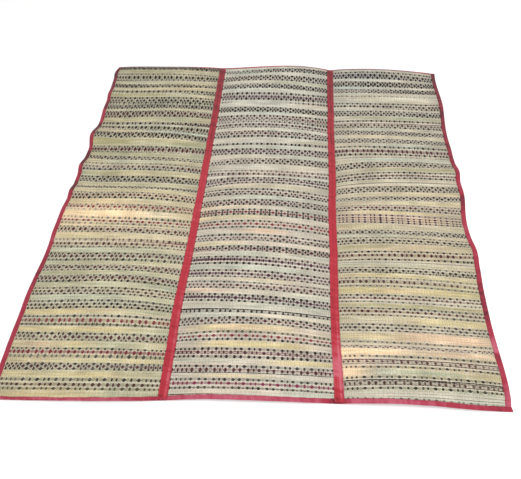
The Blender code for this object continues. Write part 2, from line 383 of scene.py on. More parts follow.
def lines_across(panel):
    """Places, lifts and fullness of a panel's lines of points.

    The lines are its two sides, the middle of each column, and the places where the level
    strips at its sides end and the swell begins. Lift is how far a point is inside a column of
    the first shed, and fullness is the same as a share: 1 in the middle of its columns, and -1
    in the middle of the second shed's.
    """
    left, right = COLUMNS_MOVED[panel]
    middles = np.array([column.middle / WEAVE_WIDTH for column in COLUMNS])
    middles = middles + blend(left, right, middles) * MM / WIDTH[panel]
    middles = np.clip(middles, OUTERMOST_COLUMN, 1 - OUTERMOST_COLUMN)
    half_widths = np.array([column.half_width for column in COLUMNS]) * MM
    bends = [level_strip(panel, False), 1 - level_strip(panel, True)]
    places = np.sort(np.concatenate([[0.0], middles, bends, [1.0]]))
    lift = np.interp(places, middles, half_widths)
    fullness = np.interp(places, middles, np.sign(half_widths))
    return places, lift, fullness


ACROSS = {}
LIFT = {}
FULLNESS = {}
for panel in PANELS:
    ACROSS[panel], LIFT[panel], FULLNESS[panel] = lines_across(panel)
STEPS_ACROSS = len(ACROSS["middle"]) - 1
REEDS = 652
ROWS = 2 * REEDS
REED_PITCH = LENGTH / REEDS
UNDER_STEP = 4
print("steps across:", STEPS_ACROSS, "and a reed every", round(REED_PITCH / MM, 2), "mm")

# %% [markdown]
# Woven reeds slant and bend. Where the weaver beat one side harder than the other, the reeds climb
# to one side, and it shows from across a room. A survey holds that: for some clear rows of each
# panel it gives where the row is charted below, and where it really lies at the panel's left side,
# in its middle and at its right side. It was made with straight rulers every 25 mm drawn over the
# picture of the mat. The chart was read as if the mat were flat, and raised rows seem to lie
# further back than they do, so the two differ most towards the back.

# %% Survey of clear rows, in millimetres
Clear = namedtuple("Clear", "charted left middle right")
SURVEY = {
    "left": [
        (-930, -936, -931, -926), (-870, -873, -870, -863), (-806, -810, -805, -800),
        (-752, -756, -752, -749), (-697, -697, -695, -694), (-632, -634, -632, -633),
        (-580, -585, -579, -583), (-520, -523, -523, -530), (-450, -455, -450, -461),
        (-399, -403, -400, -406), (-346, -348, -345, -344), (-297, -300, -298, -300),
        (-210, -211, -208, -217), (-163, -159, -166, -173), (-83, -86, -89, -94),
        (-18, -22, -22, -36), (75, 76, 69, 70), (156, 148, 150, 142), (217, 219, 210, 208),
        (272, 266, 266, 262), (373, 357, 369, 346), (426, 417, 418, 407), (455, 446, 448, 452),
        (530, 512, 524, 524), (589, 575, 578, 580), (655, 639, 644, 650), (708, 693, 697, 704),
        (750, 734, 740, 748), (825, 813, 816, 819), (889, 887, 887, 880), (930, 920, 922, 922),
    ],
    "middle": [
        (-930, -934, -930, -932), (-848, -854, -850, -855), (-803, -805, -803, -804),
        (-738, -743, -742, -743), (-677, -686, -679, -689), (-615, -627, -618, -632),
        (-570, -571, -576, -585), (-520, -517, -528, -540), (-466, -463, -473, -482),
        (-415, -413, -421, -432), (-348, -351, -355, -368), (-295, -301, -301, -308),
        (-240, -248, -249, -257), (-170, -181, -177, -187), (-102, -117, -113, -123),
        (-47, -64, -58, -61), (12, -3, 0, -12), (90, 56, 74, 70), (127, 119, 111, 121),
        (212, 187, 198, 201), (277, 262, 261, 268), (328, 312, 313, 323), (402, 381, 388, 383),
        (466, 441, 452, 437), (508, 493, 498, 497), (580, 564, 564, 560), (683, 668, 662, 675),
        (767, 747, 748, 741), (836, 820, 818, 822), (890, 876, 880, 887), (930, 918, 922, 926),
    ],
    "right": [
        (-930, -934, -930, -932), (-816, -828, -821, -830), (-749, -751, -751, -758),
        (-699, -697, -703, -705), (-626, -625, -627, -634), (-556, -557, -559, -567),
        (-497, -500, -503, -507), (-427, -432, -430, -441), (-374, -378, -376, -382),
        (-300, -309, -301, -295), (-235, -238, -227, -234), (-185, -191, -187, -190),
        (-106, -117, -117, -118), (-45, -62, -54, -52), (8, -14, 0, 17), (73, 45, 66, 80),
        (147, 104, 135, 147), (215, 178, 206, 214), (310, 292, 295, 301), (374, 361, 368, 366),
        (440, 434, 436, 433), (505, 486, 496, 498), (583, 563, 575, 571), (635, 623, 628, 632),
        (770, 757, 763, 766), (803, 791, 793, 797), (888, 872, 868, 866), (930, 918, 918, 918),
    ],
}
print("surveyed rows:", {panel: len(rows) for panel, rows in SURVEY.items()})

# %% Where a reed lies
SURVEY = {panel: [Clear(*row) for row in rows] for panel, rows in SURVEY.items()}
LIES_AT = {panel: curve_through(rows, "charted", "middle") for panel, rows in SURVEY.items()}
LEFT_AT = {panel: curve_through(rows, "middle", "left") for panel, rows in SURVEY.items()}
RIGHT_AT = {panel: curve_through(rows, "middle", "right") for panel, rows in SURVEY.items()}
EDGE_STRAIGHTENS = 50.0 * MM


def reed_share(panel, u, t):
    """Where along the panel a reed lies at u, when its middle lies at t."""
    middle = plan(panel, HALF_WAY, t)[1]
    left = LEFT_AT[panel](middle) - middle
    right = RIGHT_AT[panel](middle) - middle
    surveyed = middle + (2 * u - 1) * (left * (u - 1) + right * u)
    further_back = surveyed - plan(panel, u, t)[1]
    inside = np.minimum(t, 1 - t) * LENGTH
    return t + further_back * (1 - fade(inside, EDGE_STRAIGHTENS)) / LENGTH


raised = {panel: round(float(LIES_AT[panel](0.8)), 3) for panel in PANELS}
print("a row charted at 0.8 m lies at", raised)

# %% [markdown]
# ## The dyes
#
# Reeds are dyed in bundles before weaving: black, dark red, purple, green and brown, and most are
# left in their own straw colour, which varies from grey green to gold. A dye is named once here,
# as the eye sees it, and turned into the linear light that materials work in.


# %% Dyes and straw
def seen_colour(red, green, blue):
    """Linear colour of a colour given as it looks on a screen, from 0 to 255."""
    share = np.array([red, green, blue]) / 255
    return np.where(share <= 0.04045, share / 12.92, ((share + 0.055) / 1.055) ** 2.4)


DYES = {
    "black": seen_colour(22, 13, 12),
    "maroon": seen_colour(66, 18, 28),
    "red": seen_colour(112, 28, 42),
    "purple": seen_colour(62, 22, 48),
    "rose": seen_colour(112, 34, 62),
    "green": seen_colour(28, 29, 18),
    "olive": seen_colour(70, 66, 34),
    "brown": seen_colour(62, 32, 24),
    "grey": seen_colour(44, 41, 36),
    "blue": seen_colour(26, 28, 44),
    "gold": seen_colour(212, 196, 148),
    # This is no dye but painted sunlight, laid on as the brightest glowing washes.
    "honey": seen_colour(253, 222, 180),
    "peach": seen_colour(224, 192, 162),
    "cream": seen_colour(218, 210, 186),
    "moss": seen_colour(164, 160, 116),
    "ash": seen_colour(178, 187, 170),
    "violet": seen_colour(170, 156, 160),
}
STRAW = {
    "left": [(190, 190, 162), (168, 168, 142), (204, 190, 152), (184, 172, 136)],
    "middle": [(204, 198, 184), (184, 180, 168), (212, 196, 176), (192, 178, 162)],
    "right": [(195, 186, 164), (176, 169, 146), (203, 186, 157), (186, 171, 144)],
}
STRAW = {panel: [seen_colour(*colour) for colour in colours] for panel, colours in STRAW.items()}
# Painted light and shade of the swells: the straw is lighter on each panel's crest and darker at its
# sides, and more so at the right side of some panels. Further back it is tinted as painted cool light.
CREST_PAINTED_LIGHT = 1.035
FLANK_PAINTED_SHADE = 0.955
RIGHT_FLANK_PAINTED_SHADE = {"left": 0.1, "middle": 0.8, "right": 0.0}
PAINTED_COOL_LIGHT_AT_BACK = {
    "left": np.array([1.02, 1.03, 1.09]),
    "middle": np.array([1.02, 1.11, 1.16]),
    "right": np.array([1.0, 1.09, 1.26]),
}
print("dyes:", ", ".join(DYES))

# %% [markdown]
# ## The chart
#
# A weaver works from a chart: so many reeds of this dye in the first shed, then so many of that
# dye in the second. Most stripes have three rows of dashes: an outer row, a middle row in the
# other shed, and another outer row. Each entry gives where the row lies along the panel in
# millimetres, its shed (first, second, or both for a solid line), its dye, and how strong it is
# from 0 to 9 at the left and at the right end. A negative strength starts the row part of the
# way along. The last number, where there is one, is half the row's height. The chart follows the
# bands of the mat one by one, as a weaver would copy an old mat.

# %% What a row of the chart says
Row = namedtuple("Row", "y shed dye left right half", defaults=[6.0])
FIRST, SECOND, BOTH = "first", "second", "both"

# A row's half height is the charted one times a share for its shed and one for its panel. Where
# threads cross the row it loses a part of that. Further back, dashes are darker and taller.
HALF_OF_SHED = {FIRST: 1.02, SECOND: 1.08, BOTH: 1.15}
HALF_OF_PANEL = {"left": 1.06, "middle": 0.97, "right": 0.92}
NARROWED = {FIRST: 0.6, SECOND: 0.55, BOTH: 0.12}
Growth = namedtuple("Growth", "y share")
DARKER = [Growth(-930, 1.0), Growth(0, 1.04), Growth(930, 1.2)]
TALLER = [Growth(-930, 0.81), Growth(0, 1.06), Growth(930, 1.6)]
DARKER_AT = curve_through(DARKER, "y", "share", 1.0)
TALLER_AT = curve_through(TALLER, "y", "share", 1.0)
print("dashes at the back are", round(float(TALLER_AT(0.93)), 2), "times as tall as charted")

CHART = {}

# %% Chart of the left panel
CHART["left"] = [
    (900, SECOND, "black", 6, 6), (889, FIRST, "black", 8, 7),
    (847, FIRST, "black", 4, 4), (825, SECOND, "black", 9, 9, 8), (806, FIRST, "grey", 3, 6),
    (797, BOTH, "olive", 7, -4, 2), (763, FIRST, "black", 7, 3), (750, SECOND, "black", 9, 8),
    (708, FIRST, "green", 6, 7, 7), (692, SECOND, "green", -12, 9, 5),
    (655, FIRST, "black", 9, 5), (635, SECOND, "black", 8, 9), (618, FIRST, "grey", 8, 8, 7),
    (600, FIRST, "grey", 3, 4), (589, SECOND, "black", 5, 9, 8), (576, FIRST, "black", 7, 3),
    (545, FIRST, "black", 6, 3), (530, SECOND, "maroon", 9, 9, 8), (510, FIRST, "brown", 9, 8, 7),
    (455, FIRST, "black", 8, 7, 7), (449, SECOND, "maroon", -5, 9, 4),
    (426, SECOND, "black", 9, 9, 7), (410, FIRST, "green", 2, 5),
    (385, FIRST, "black", 5, 5), (373, SECOND, "black", 8, 9, 8), (357, FIRST, "black", 7, 5),
    (290, FIRST, "green", 4, 8, 7), (272, SECOND, "maroon", 9, 9, 10), (272, BOTH, "brown", 3, 2, 6),
    (253, FIRST, "olive", 6, 1), (217, FIRST, "black", 8, 4), (206, SECOND, "black", 6, 5, 5),
    (175, FIRST, "brown", 4, 4), (156, SECOND, "maroon", 4, 9, 7), (150, BOTH, "purple", -3, 5, 3),
    (140, FIRST, "blue", 9, 6, 6), (90, FIRST, "black", 9, 8), (75, SECOND, "black", 7, 8),
    (64, FIRST, "black", 7, 6, 5), (61, BOTH, "grey", 3, 3, 2),
    (30, FIRST, "olive", 5, 5, 5), (25, SECOND, "black", 4, 6, 5),
    (-5, FIRST, "green", 4, 5, 5), (-18, SECOND, "maroon", 8, 9), (-33, FIRST, "black", 9, 8),
    (-72, FIRST, "olive", 4, 6), (-83, SECOND, "red", 8, 7), (-98, FIRST, "olive", 2, 7, 7),
    (-145, FIRST, "green", 3, 7, 7), (-163, SECOND, "red", 8, 9, 5), (-178, FIRST, "green", 4, 5),
    (-197, FIRST, "black", 5, 3, 4), (-210, SECOND, "maroon", 9, 8, 7), (-222, FIRST, "black", 4, 7, 5),
    (-262, FIRST, "brown", 3, 7, 8), (-270, BOTH, "red", -5, 9, 2), (-282, SECOND, "maroon", 8, 6, 7),
    (-297, FIRST, "green", 5, 5), (-333, FIRST, "green", 7, 7), (-346, SECOND, "maroon", 9, 7, 7),
    (-363, FIRST, "green", 6, 8, 7), (-391, FIRST, "black", 5, 4, 5), (-399, SECOND, "maroon", 8, 8),
    (-411, FIRST, "green", 5, 7, 5), (-440, FIRST, "black", 5, 5), (-450, SECOND, "maroon", 9, 8, 7),
    (-463, FIRST, "green", 8, 8), (-495, FIRST, "green", 7, 8, 5), (-508, SECOND, "brown", 8, 6, 6),
    (-520, FIRST, "black", 8, 7, 5), (-552, FIRST, "grey", 6, 8), (-567, SECOND, "black", 8, 8, 6),
    (-580, FIRST, "black", 9, 8), (-615, FIRST, "green", 7, 7), (-616, BOTH, "olive", 3, 3, 2),
    (-632, SECOND, "red", 7, 8, 8), (-648, FIRST, "olive", 8, 8), (-649, BOTH, "olive", 4, 4, 3),
    (-685, FIRST, "green", 8, 7), (-697, SECOND, "maroon", 7, 8, 7), (-708, FIRST, "olive", 6, 7, 5),
    (-740, FIRST, "green", 7, 7, 5), (-752, SECOND, "red", 9, 9, 7), (-752, BOTH, "red", 2, 4, 6),
    (-768, FIRST, "green", 4, 7, 8), (-797, FIRST, "green", 7, 6), (-806, SECOND, "maroon", 8, 7),
    (-806, BOTH, "purple", -4, 5, 5), (-815, FIRST, "black", 8, 6),
    (-853, FIRST, "green", 6, 8, 7), (-870, SECOND, "brown", 9, 9, 6), (-884, FIRST, "olive", 8, 9),
]
print("left panel:", len(CHART["left"]), "rows of dashes")

# %% Chart of the middle panel
CHART["middle"] = [
    (905, FIRST, "black", -4, 9), (896, SECOND, "black", 4, 9), (884, FIRST, "green", 4, 8),
    (848, FIRST, "black", 5, 8), (836, SECOND, "black", 8, 9), (821, FIRST, "black", 8, 6),
    (781, SECOND, "black", 3, 7), (767, FIRST, "black", 7, 9, 7), (755, SECOND, "black", 7, 5),
    (708, FIRST, "green", 8, 8, 8), (683, SECOND, "purple", 7, 8, 8), (683, BOTH, "purple", 2, 2, 6),
    (665, FIRST, "green", 8, 8, 7), (640, FIRST, "brown", -6, 8), (640, FIRST, "brown", 6, -20),
    (593, FIRST, "black", 7, 7), (580, SECOND, "black", 8, 9), (567, FIRST, "green", 8, 9),
    (525, SECOND, "black", 7, 7), (508, FIRST, "maroon", 9, 9), (497, SECOND, "black", 4, 4),
    (485, FIRST, "grey", 4, 9), (466, SECOND, "maroon", 9, 9), (450, FIRST, "black", 5, 4),
    (415, SECOND, "black", 5, 8), (402, FIRST, "maroon", 9, 9), (383, SECOND, "black", 7, 8, 8),
    (328, SECOND, "black", 7, 8, 7), (324, BOTH, "olive", 3, 3, 2),
    (290, SECOND, "black", 8, 9), (277, FIRST, "purple", 9, 8), (263, SECOND, "black", 7, 7),
    (225, SECOND, "black", 2, 7), (212, FIRST, "black", 8, 9, 7), (197, SECOND, "black", 6, 7),
    (145, FIRST, "brown", 4, 5, 8), (127, SECOND, "maroon", 9, 8), (120, BOTH, "grey", 3, 3, 2),
    (102, SECOND, "black", 7, 6), (90, FIRST, "purple", 9, 9, 5), (90, BOTH, "purple", 3, 4, 3),
    (75, SECOND, "black", 7, 7, 5), (30, SECOND, "green", 7, 7), (12, FIRST, "maroon", 8, 8),
    (0, SECOND, "green", 7, 9), (-35, SECOND, "black", 7, 7), (-47, FIRST, "maroon", 9, 7),
    (-58, SECOND, "black", 7, 8), (-90, SECOND, "green", 7, 7, 7), (-102, FIRST, "red", 9, 8),
    (-102, BOTH, "maroon", 6, 5, 3), (-114, SECOND, "green", 7, 8, 7),
    (-155, SECOND, "green", 8, 6), (-170, FIRST, "red", 9, 9, 7), (-186, SECOND, "green", 6, 7),
    (-225, SECOND, "black", 7, 8), (-240, FIRST, "maroon", 6, 8), (-250, SECOND, "green", 5, 7),
    (-285, SECOND, "green", 6, 9), (-295, FIRST, "maroon", 8, 9), (-294, BOTH, "maroon", 6, 2, 2.5),
    (-303, SECOND, "black", 5, 7, 5), (-335, SECOND, "black", 8, 6), (-348, FIRST, "purple", 9, 9, 8),
    (-348, BOTH, "purple", 8, 2, 6), (-365, SECOND, "black", 9, 8), (-365, BOTH, "green", 5, 2, 2),
    (-400, SECOND, "black", 8, 8), (-415, FIRST, "purple", 9, 9, 7), (-415, BOTH, "purple", 5, 0, 6),
    (-428, SECOND, "black", 6, 7, 5), (-452, SECOND, "black", 6, 6, 5), (-466, FIRST, "maroon", 8, 7, 7),
    (-477, SECOND, "black", 7, 7, 5), (-508, SECOND, "black", 7, 9), (-520, FIRST, "purple", 9, 9, 7),
    (-520, BOTH, "purple", 6, 3, 5), (-533, SECOND, "black", 7, 7),
    (-570, BOTH, "black", 8, 8, 2.5), (-578, SECOND, "black", 7, 8, 5),
    (-605, SECOND, "green", 7, 8), (-615, FIRST, "maroon", 9, 8), (-626, SECOND, "black", 7, 7, 5),
    (-662, SECOND, "olive", 7, 8), (-677, FIRST, "red", 9, 8), (-690, SECOND, "green", 7, 8),
    (-725, SECOND, "black", 8, 8), (-738, FIRST, "maroon", 9, 6, 7), (-734, BOTH, "red", 6, 5, 2),
    (-742, BOTH, "red", 6, 5, 2), (-753, SECOND, "black", 8, 9), (-790, FIRST, "grey", 9, 8),
    (-803, SECOND, "maroon", 9, 8, 7), (-800, BOTH, "red", 2, 7, 2), (-812, BOTH, "green", 6, 6, 2),
    (-835, SECOND, "green", 7, 8), (-848, FIRST, "rose", 9, 9, 7), (-848, BOTH, "rose", 3, 4, 4),
    (-863, SECOND, "green", 8, 7), (-864, BOTH, "green", 4, 5, 2), (-886, BOTH, "olive", 8, -4, 2),
]
print("middle panel:", len(CHART["middle"]), "rows of dashes")

# %% Chart of the right panel
CHART["right"] = [
    (910, FIRST, "black", 7, 7), (888, SECOND, "black", 9, 8, 8), (870, FIRST, "blue", 9, 9),
    (832, FIRST, "black", 5, 7), (817, SECOND, "black", 7, 8, 7), (803, FIRST, "black", 8, 8),
    (770, FIRST, "black", 4, 8), (757, SECOND, "black", 3, 8), (747, FIRST, "black", 5, 7, 5),
    (715, FIRST, "olive", 5, 2), (655, FIRST, "green", 6, 6), (635, SECOND, "black", 9, 9),
    (620, FIRST, "brown", -5, 9), (597, FIRST, "black", 6, 4), (583, SECOND, "black", 8, 9),
    (570, FIRST, "black", 8, 7), (525, FIRST, "green", 7, 7), (527, BOTH, "olive", 4, 3, 2),
    (505, BOTH, "maroon", 3, 7, 2), (492, SECOND, "brown", 7, 6, 7), (475, FIRST, "green", 8, 7),
    (440, FIRST, "black", 6, 7, 5), (430, SECOND, "black", 5, 8, 5), (420, FIRST, "black", 7, 5, 5),
    (384, FIRST, "black", 6, 6, 5), (374, SECOND, "black", 6, 7, 5), (365, FIRST, "black", 7, 5, 5),
    (336, FIRST, "green", 5, 9, 7), (310, SECOND, "maroon", 9, 7, 10), (308, BOTH, "maroon", 3, 2, 8),
    (287, FIRST, "black", 7, 9, 7), (266, FIRST, "green", 3, 4, 4), (228, FIRST, "green", 6, 5),
    (215, SECOND, "black", 9, 9), (203, FIRST, "black", 8, 4), (165, FIRST, "green", 7, 7),
    (147, SECOND, "brown", 9, 5, 7), (147, BOTH, "maroon", 3, 7, 2), (130, FIRST, "black", 7, 7),
    (129, BOTH, "olive", 2, 5, 2), (100, BOTH, "olive", 5, 3, 3), (73, FIRST, "green", 6, 8),
    (60, SECOND, "green", 6, 7, 7), (48, FIRST, "black", 7, 7), (14, FIRST, "black", 5, 8, 5),
    (6, SECOND, "black", 6, 9, 5), (-3, FIRST, "green", 3, 5, 4), (-34, FIRST, "black", 3, 5, 5),
    (-45, SECOND, "maroon", 8, 7), (-58, FIRST, "black", 7, 7, 5), (-86, FIRST, "purple", 9, 5),
    (-101, FIRST, "maroon", 7, 9, 5), (-113, FIRST, "maroon", 6, 8, 5), (-125, FIRST, "blue", 8, 8, 5),
    (-174, FIRST, "grey", 4, 8, 5), (-185, SECOND, "green", 7, 8),
    (-194, FIRST, "black", 3, 6, 4), (-220, FIRST, "black", 5, 5, 5), (-235, SECOND, "black", 9, 8),
    (-247, FIRST, "black", 8, 5, 5), (-285, FIRST, "black", 8, 8), (-300, SECOND, "maroon", 8, 8, 8),
    (-321, FIRST, "black", 7, 9), (-335, BOTH, "olive", 4, 4, 2), (-362, FIRST, "green", 6, 5, 5),
    (-374, SECOND, "black", 8, 9), (-384, FIRST, "olive", 7, 7, 5), (-384, BOTH, "olive", 6, 5, 2),
    (-410, FIRST, "grey", 5, 4), (-427, SECOND, "brown", 9, 5, 8), (-420, BOTH, "brown", 5, 1, 2),
    (-445, FIRST, "grey", 6, 5), (-485, FIRST, "black", 6, 7), (-497, SECOND, "maroon", 8, 6),
    (-499, BOTH, "maroon", 4, 5, 2), (-513, FIRST, "black", 6, 4, 5), (-514, BOTH, "olive", 5, -3, 2),
    (-543, FIRST, "black", 6, 6), (-556, SECOND, "maroon", 9, 7), (-572, FIRST, "green", 5, 6),
    (-613, FIRST, "grey", 6, 7), (-626, SECOND, "black", 8, 6), (-637, FIRST, "black", 6, 5, 5),
    (-682, FIRST, "green", 5, 5), (-697, SECOND, "maroon", 5, 7, 4), (-703, FIRST, "maroon", 6, 4, 4),
    (-736, FIRST, "green", 5, 8), (-749, BOTH, "maroon", 8, 9, 1.9), (-756, SECOND, "maroon", 8, 4, 4.7),
    (-762, BOTH, "maroon", 4, 9, 1.8), (-773, FIRST, "green", 6, 8, 5.5), (-806, FIRST, "green", 7, 7, 6),
    (-816, BOTH, "black", 9, 9, 2.4), (-827, SECOND, "brown", 9, 6, 5), (-821, BOTH, "brown", 5, 9, 1.8),
    (-833, BOTH, "brown", 5, 9, 1.8), (-844, FIRST, "green", 7, 8, 6.5), (-864, BOTH, "olive", 1, 4, 1.6),
    (-875, BOTH, "olive", 2, 5, 1.6), (-884, FIRST, "black", 9, 2, 5),
]
print("right panel:", len(CHART["right"]), "rows of dashes")

# %% The charts by their columns
CHART = {panel: [Row(*row) for row in rows] for panel, rows in CHART.items()}
print("rows of dashes in all:", sum(len(rows) for rows in CHART.values()))

# %% [markdown]
# Between the stripes the straw itself changes: bundles of gold, peach, moss green and pale ash,
# many of them only along part of the panel. The brightest, glowing washes are not straw but painted
# sunlight. They are soft washes, each with its middle along the panel, half its height, where it
# starts and ends as a share of the width, and its strength.

# %% What a wash says
Wash = namedtuple("Wash", "y half dye start end strength")
WASHES = {}

# %% Washes of the left panel
# The brightest glowing washes here are painted sunlight.
WASHES["left"] = [
    (870, 14, "moss", 0.0, 0.5, 4), (784, 8, "moss", 0.2, 0.9, 3),
    (688, 18, "moss", -0.1, 0.65, 8), (705, 8, "cream", 0.45, 0.7, 7),
    (640, 4, "cream", 0.1, 0.5, 8), (555, 10, "moss", 0.2, 0.8, 3),
    (490, 12, "moss", 0.1, 0.6, 3), (440, 10, "ash", 0.2, 1.1, 4),
    (400, 8, "ash", 0.3, 1.1, 5), (351, 4, "cream", 0.0, 0.8, 8),
    (325, 22, "moss", -0.1, 0.45, 8), (325, 15, "moss", 0.4, 1.1, 3),
    (253, 7, "olive", 0.2, 0.48, 5), (238, 10, "moss", -0.1, 0.6, 4),
    (190, 12, "ash", 0.1, 0.8, 5), (140, 8, "violet", 0.1, 0.3, 5),
    (115, 10, "moss", 0.0, 0.5, 4), (48, 8, "moss", 0.0, 1.0, 2),
    (-118, 26, "honey", -0.1, 0.6, 9), (-118, 18, "cream", 0.5, 0.95, 7),
    (-70, 10, "peach", 0.0, 0.45, 7), (-172, 20, "honey", -0.1, 0.45, 6),
    (-240, 12, "gold", -0.1, 0.42, 6), (-235, 12, "ash", 0.45, 1.1, 3),
    (-310, 10, "ash", -0.1, 0.9, 4), (-352, 3, "cream", 0.1, 0.7, 7),
    (-428, 9, "moss", 0.0, 0.5, 3), (-480, 7, "ash", 0.2, 1.1, 4),
    (-538, 24, "ash", -0.1, 0.75, 5), (-598, 11, "gold", -0.1, 0.45, 6),
    (-598, 11, "ash", 0.55, 1.1, 3), (-667, 13, "gold", -0.1, 0.85, 6),
    (-725, 14, "peach", 0.05, 0.3, 6), (-725, 14, "gold", 0.25, 0.6, 7),
    (-785, 10, "gold", -0.1, 1.1, 5), (-835, 12, "gold", -0.1, 0.75, 5),
    (-900, 14, "gold", -0.1, 0.7, 4), (-330, 110, "cream", 0.84, 1.2, 6),
    (-130, 90, "gold", -0.3, 0.5, 4), (-150, 150, "honey", -0.2, 1.2, 2.5),
    (-118, 40, "honey", -0.4, 0.7, 7),
]
print("left panel:", len(WASHES["left"]), "washes")

# %% Washes of the middle panel
# The brightest glowing wash here is painted sunlight.
WASHES["middle"] = [
    (890, 20, "ash", -0.1, 0.5, 6), (800, 12, "moss", 0.3, 1.1, 3),
    (740, 10, "cream", 0.1, 0.8, 3), (683, 20, "violet", 0.1, 0.6, 4),
    (625, 9, "peach", 0.6, 1.1, 5), (555, 8, "ash", 0.2, 0.8, 4),
    (497, 10, "violet", 0.1, 0.5, 3), (435, 10, "cream", 0.2, 0.8, 3),
    (360, 8, "peach", 0.0, 0.4, 2), (350, 10, "moss", 0.6, 1.1, 3),
    (308, 8, "ash", -0.1, 0.9, 6), (278, 14, "violet", 0.0, 0.6, 4),
    (245, 8, "gold", 0.1, 0.5, 2), (240, 8, "ash", 0.5, 1.0, 4),
    (180, 16, "cream", 0.2, 1.0, 2), (112, 6, "ash", 0.5, 1.1, 5),
    (50, 10, "moss", -0.1, 0.9, 3), (-20, 10, "ash", 0.1, 0.8, 4),
    (-90, 55, "honey", -0.3, 0.16, 7), (-72, 10, "gold", 0.05, 0.5, 4),
    (-130, 10, "gold", -0.1, 0.6, 4), (-75, 8, "ash", 0.7, 1.1, 5),
    (-205, 12, "peach", 0.3, 0.75, 6), (-268, 12, "gold", -0.1, 0.45, 5),
    (-320, 10, "ash", 0.1, 1.0, 5), (-356, 4, "cream", -0.1, 0.6, 8),
    (-385, 9, "ash", -0.1, 0.9, 5), (-438, 7, "gold", 0.0, 0.8, 3),
    (-490, 9, "peach", -0.1, 0.3, 6), (-490, 9, "ash", 0.3, 1.1, 5),
    (-550, 45, "ash", 0.0, 1.1, 4), (-592, 7, "cream", 0.3, 1.1, 4),
    (-643, 13, "gold", 0.05, 0.8, 7), (-643, 10, "peach", 0.2, 0.6, 5),
    (-707, 13, "gold", 0.1, 0.9, 7), (-770, 10, "gold", 0.5, 1.1, 7),
    (-768, 10, "ash", -0.1, 0.5, 6), (-822, 8, "gold", 0.1, 0.7, 4),
    (-878, 8, "cream", 0.0, 0.6, 4), (-870, 36, "ash", 0.55, 1.3, 6),
]
print("middle panel:", len(WASHES["middle"]), "washes")

# %% Washes of the right panel
# The brightest glowing washes here are painted sunlight.
WASHES["right"] = [
    (888, 16, "violet", -0.1, 0.5, 6), (850, 10, "cream", 0.1, 0.7, 3),
    (785, 8, "ash", -0.1, 0.4, 6), (700, 28, "gold", 0.2, 1.0, 3),
    (700, 20, "cream", 0.3, 1.1, 4), (607, 6, "ash", 0.0, 0.5, 4),
    (547, 12, "moss", 0.1, 1.1, 4), (515, 8, "peach", 0.3, 1.1, 3),
    (455, 9, "ash", 0.1, 0.7, 3), (402, 10, "gold", 0.1, 1.0, 3),
    (345, 10, "ash", 0.2, 0.9, 3), (316, 4, "cream", 0.1, 0.35, 7),
    (248, 10, "ash", 0.1, 1.1, 5), (183, 9, "moss", 0.2, 1.1, 5),
    (112, 8, "moss", -0.1, 0.5, 3), (88, 8, "cream", 0.0, 1.1, 4),
    (30, 8, "gold", 0.1, 1.1, 3), (-20, 10, "gold", 0.4, 1.1, 5),
    (-106, 24, "violet", -0.1, 0.7, 3), (-106, 26, "peach", -0.1, 0.9, 4),
    (-72, 5, "gold", 0.1, 0.9, 8), (-150, 14, "gold", 0.0, 0.5, 3),
    (-205, 8, "ash", -0.1, 0.6, 5), (-262, 9, "moss", -0.1, 0.5, 3),
    (-345, 12, "ash", -0.1, 0.7, 4), (-398, 12, "gold", 0.0, 1.1, 6),
    (-425, 20, "gold", 0.6, 1.2, 6), (-462, 14, "gold", -0.1, 1.1, 7),
    (-462, 10, "peach", 0.2, 0.7, 5), (-528, 8, "moss", -0.1, 1.1, 4),
    (-592, 16, "gold", 0.4, 1.1, 5), (-592, 12, "cream", 0.0, 0.4, 4),
    (-660, 18, "peach", 0.3, 1.1, 7), (-660, 14, "gold", -0.1, 0.5, 4),
    (-500, 100, "moss", -0.2, 1.2, 2), (-716, 13, "honey", -0.1, 0.5, 8),
    (-716, 10, "peach", 0.4, 1.1, 5), (-300, 160, "moss", -0.2, 1.2, 1.5),
    (-765, 62, "honey", -0.3, 0.24, 8), (-790, 9, "ash", 0.1, 0.8, 6),
    (-790, 9, "gold", 0.75, 1.1, 3), (-875, 26, "ash", 0.15, 1.2, 5),
    (-885, 16, "cream", -0.2, 0.5, 4),
    (-800, 60, "moss", 0.25, 1.2, 3), (-870, 60, "ash", -0.2, 1.2, 2),
]
print("right panel:", len(WASHES["right"]), "washes")

# %% The washes by their columns
WASHES = {panel: [Wash(*row) for row in rows] for panel, rows in WASHES.items()}
print("washes in all:", sum(len(rows) for rows in WASHES.values()))

# %% [markdown]
# ## From the chart to the points
#
# Every point of the woven face is told what lies there. For the straw that is a colour, with the
# washes laid over it. For each shed it is the nearest dyed row: its dye, how strong it is, and
# how far inside the row the point is. The material cuts the dashes from that distance, so their
# ends stay crisp however close the camera comes.
#
# The survey brings each charted place to where it lies on the mat. The random numbers start from a
# fixed seed, so the mat is the same every time.

# %% Random values that change smoothly
STRONGEST = 9.0
SEEDS = {"left": 11, "middle": 12, "right": 13}


def across_lines(random, low, high, stops):
    """Smooth random values along one reed, one for each line of points."""
    values = random.uniform(low, high, stops)
    return np.interp(np.linspace(0, 1, STEPS_ACROSS + 1), np.linspace(0, 1, stops), values)


def drift(random, places, step, stops):
    """Smooth random values from -1 to 1 over places along the mat and the lines across it."""
    along = (places - places.min()) / step
    number = int(along.max()) + 2
    coarse = np.array([across_lines(random, -1, 1, stops) for _ in range(number)])
    low = along.astype(int)
    share = (along - low)[:, None]
    share = share * share * (3 - 2 * share)
    return blend(coarse[low], coarse[np.minimum(low + 1, number - 1)], share)


print("random values start from:", SEEDS)

# %% Straw for each point of the face
TONE_STEP = 17 * MM
WARMTH_STEP = 41 * MM
WASH_CORE = 0.5
WASH_FADES = 0.9
WASH_END = 0.18
WASH_RAGGED = 0.35
MOST_WASHED = 0.95
# How far in from the sides, and from the right side, the painted shade of the swells reaches.
FLANK_SHADE_REACH = 0.28
RIGHT_FLANK_SHADE_REACH = 0.25
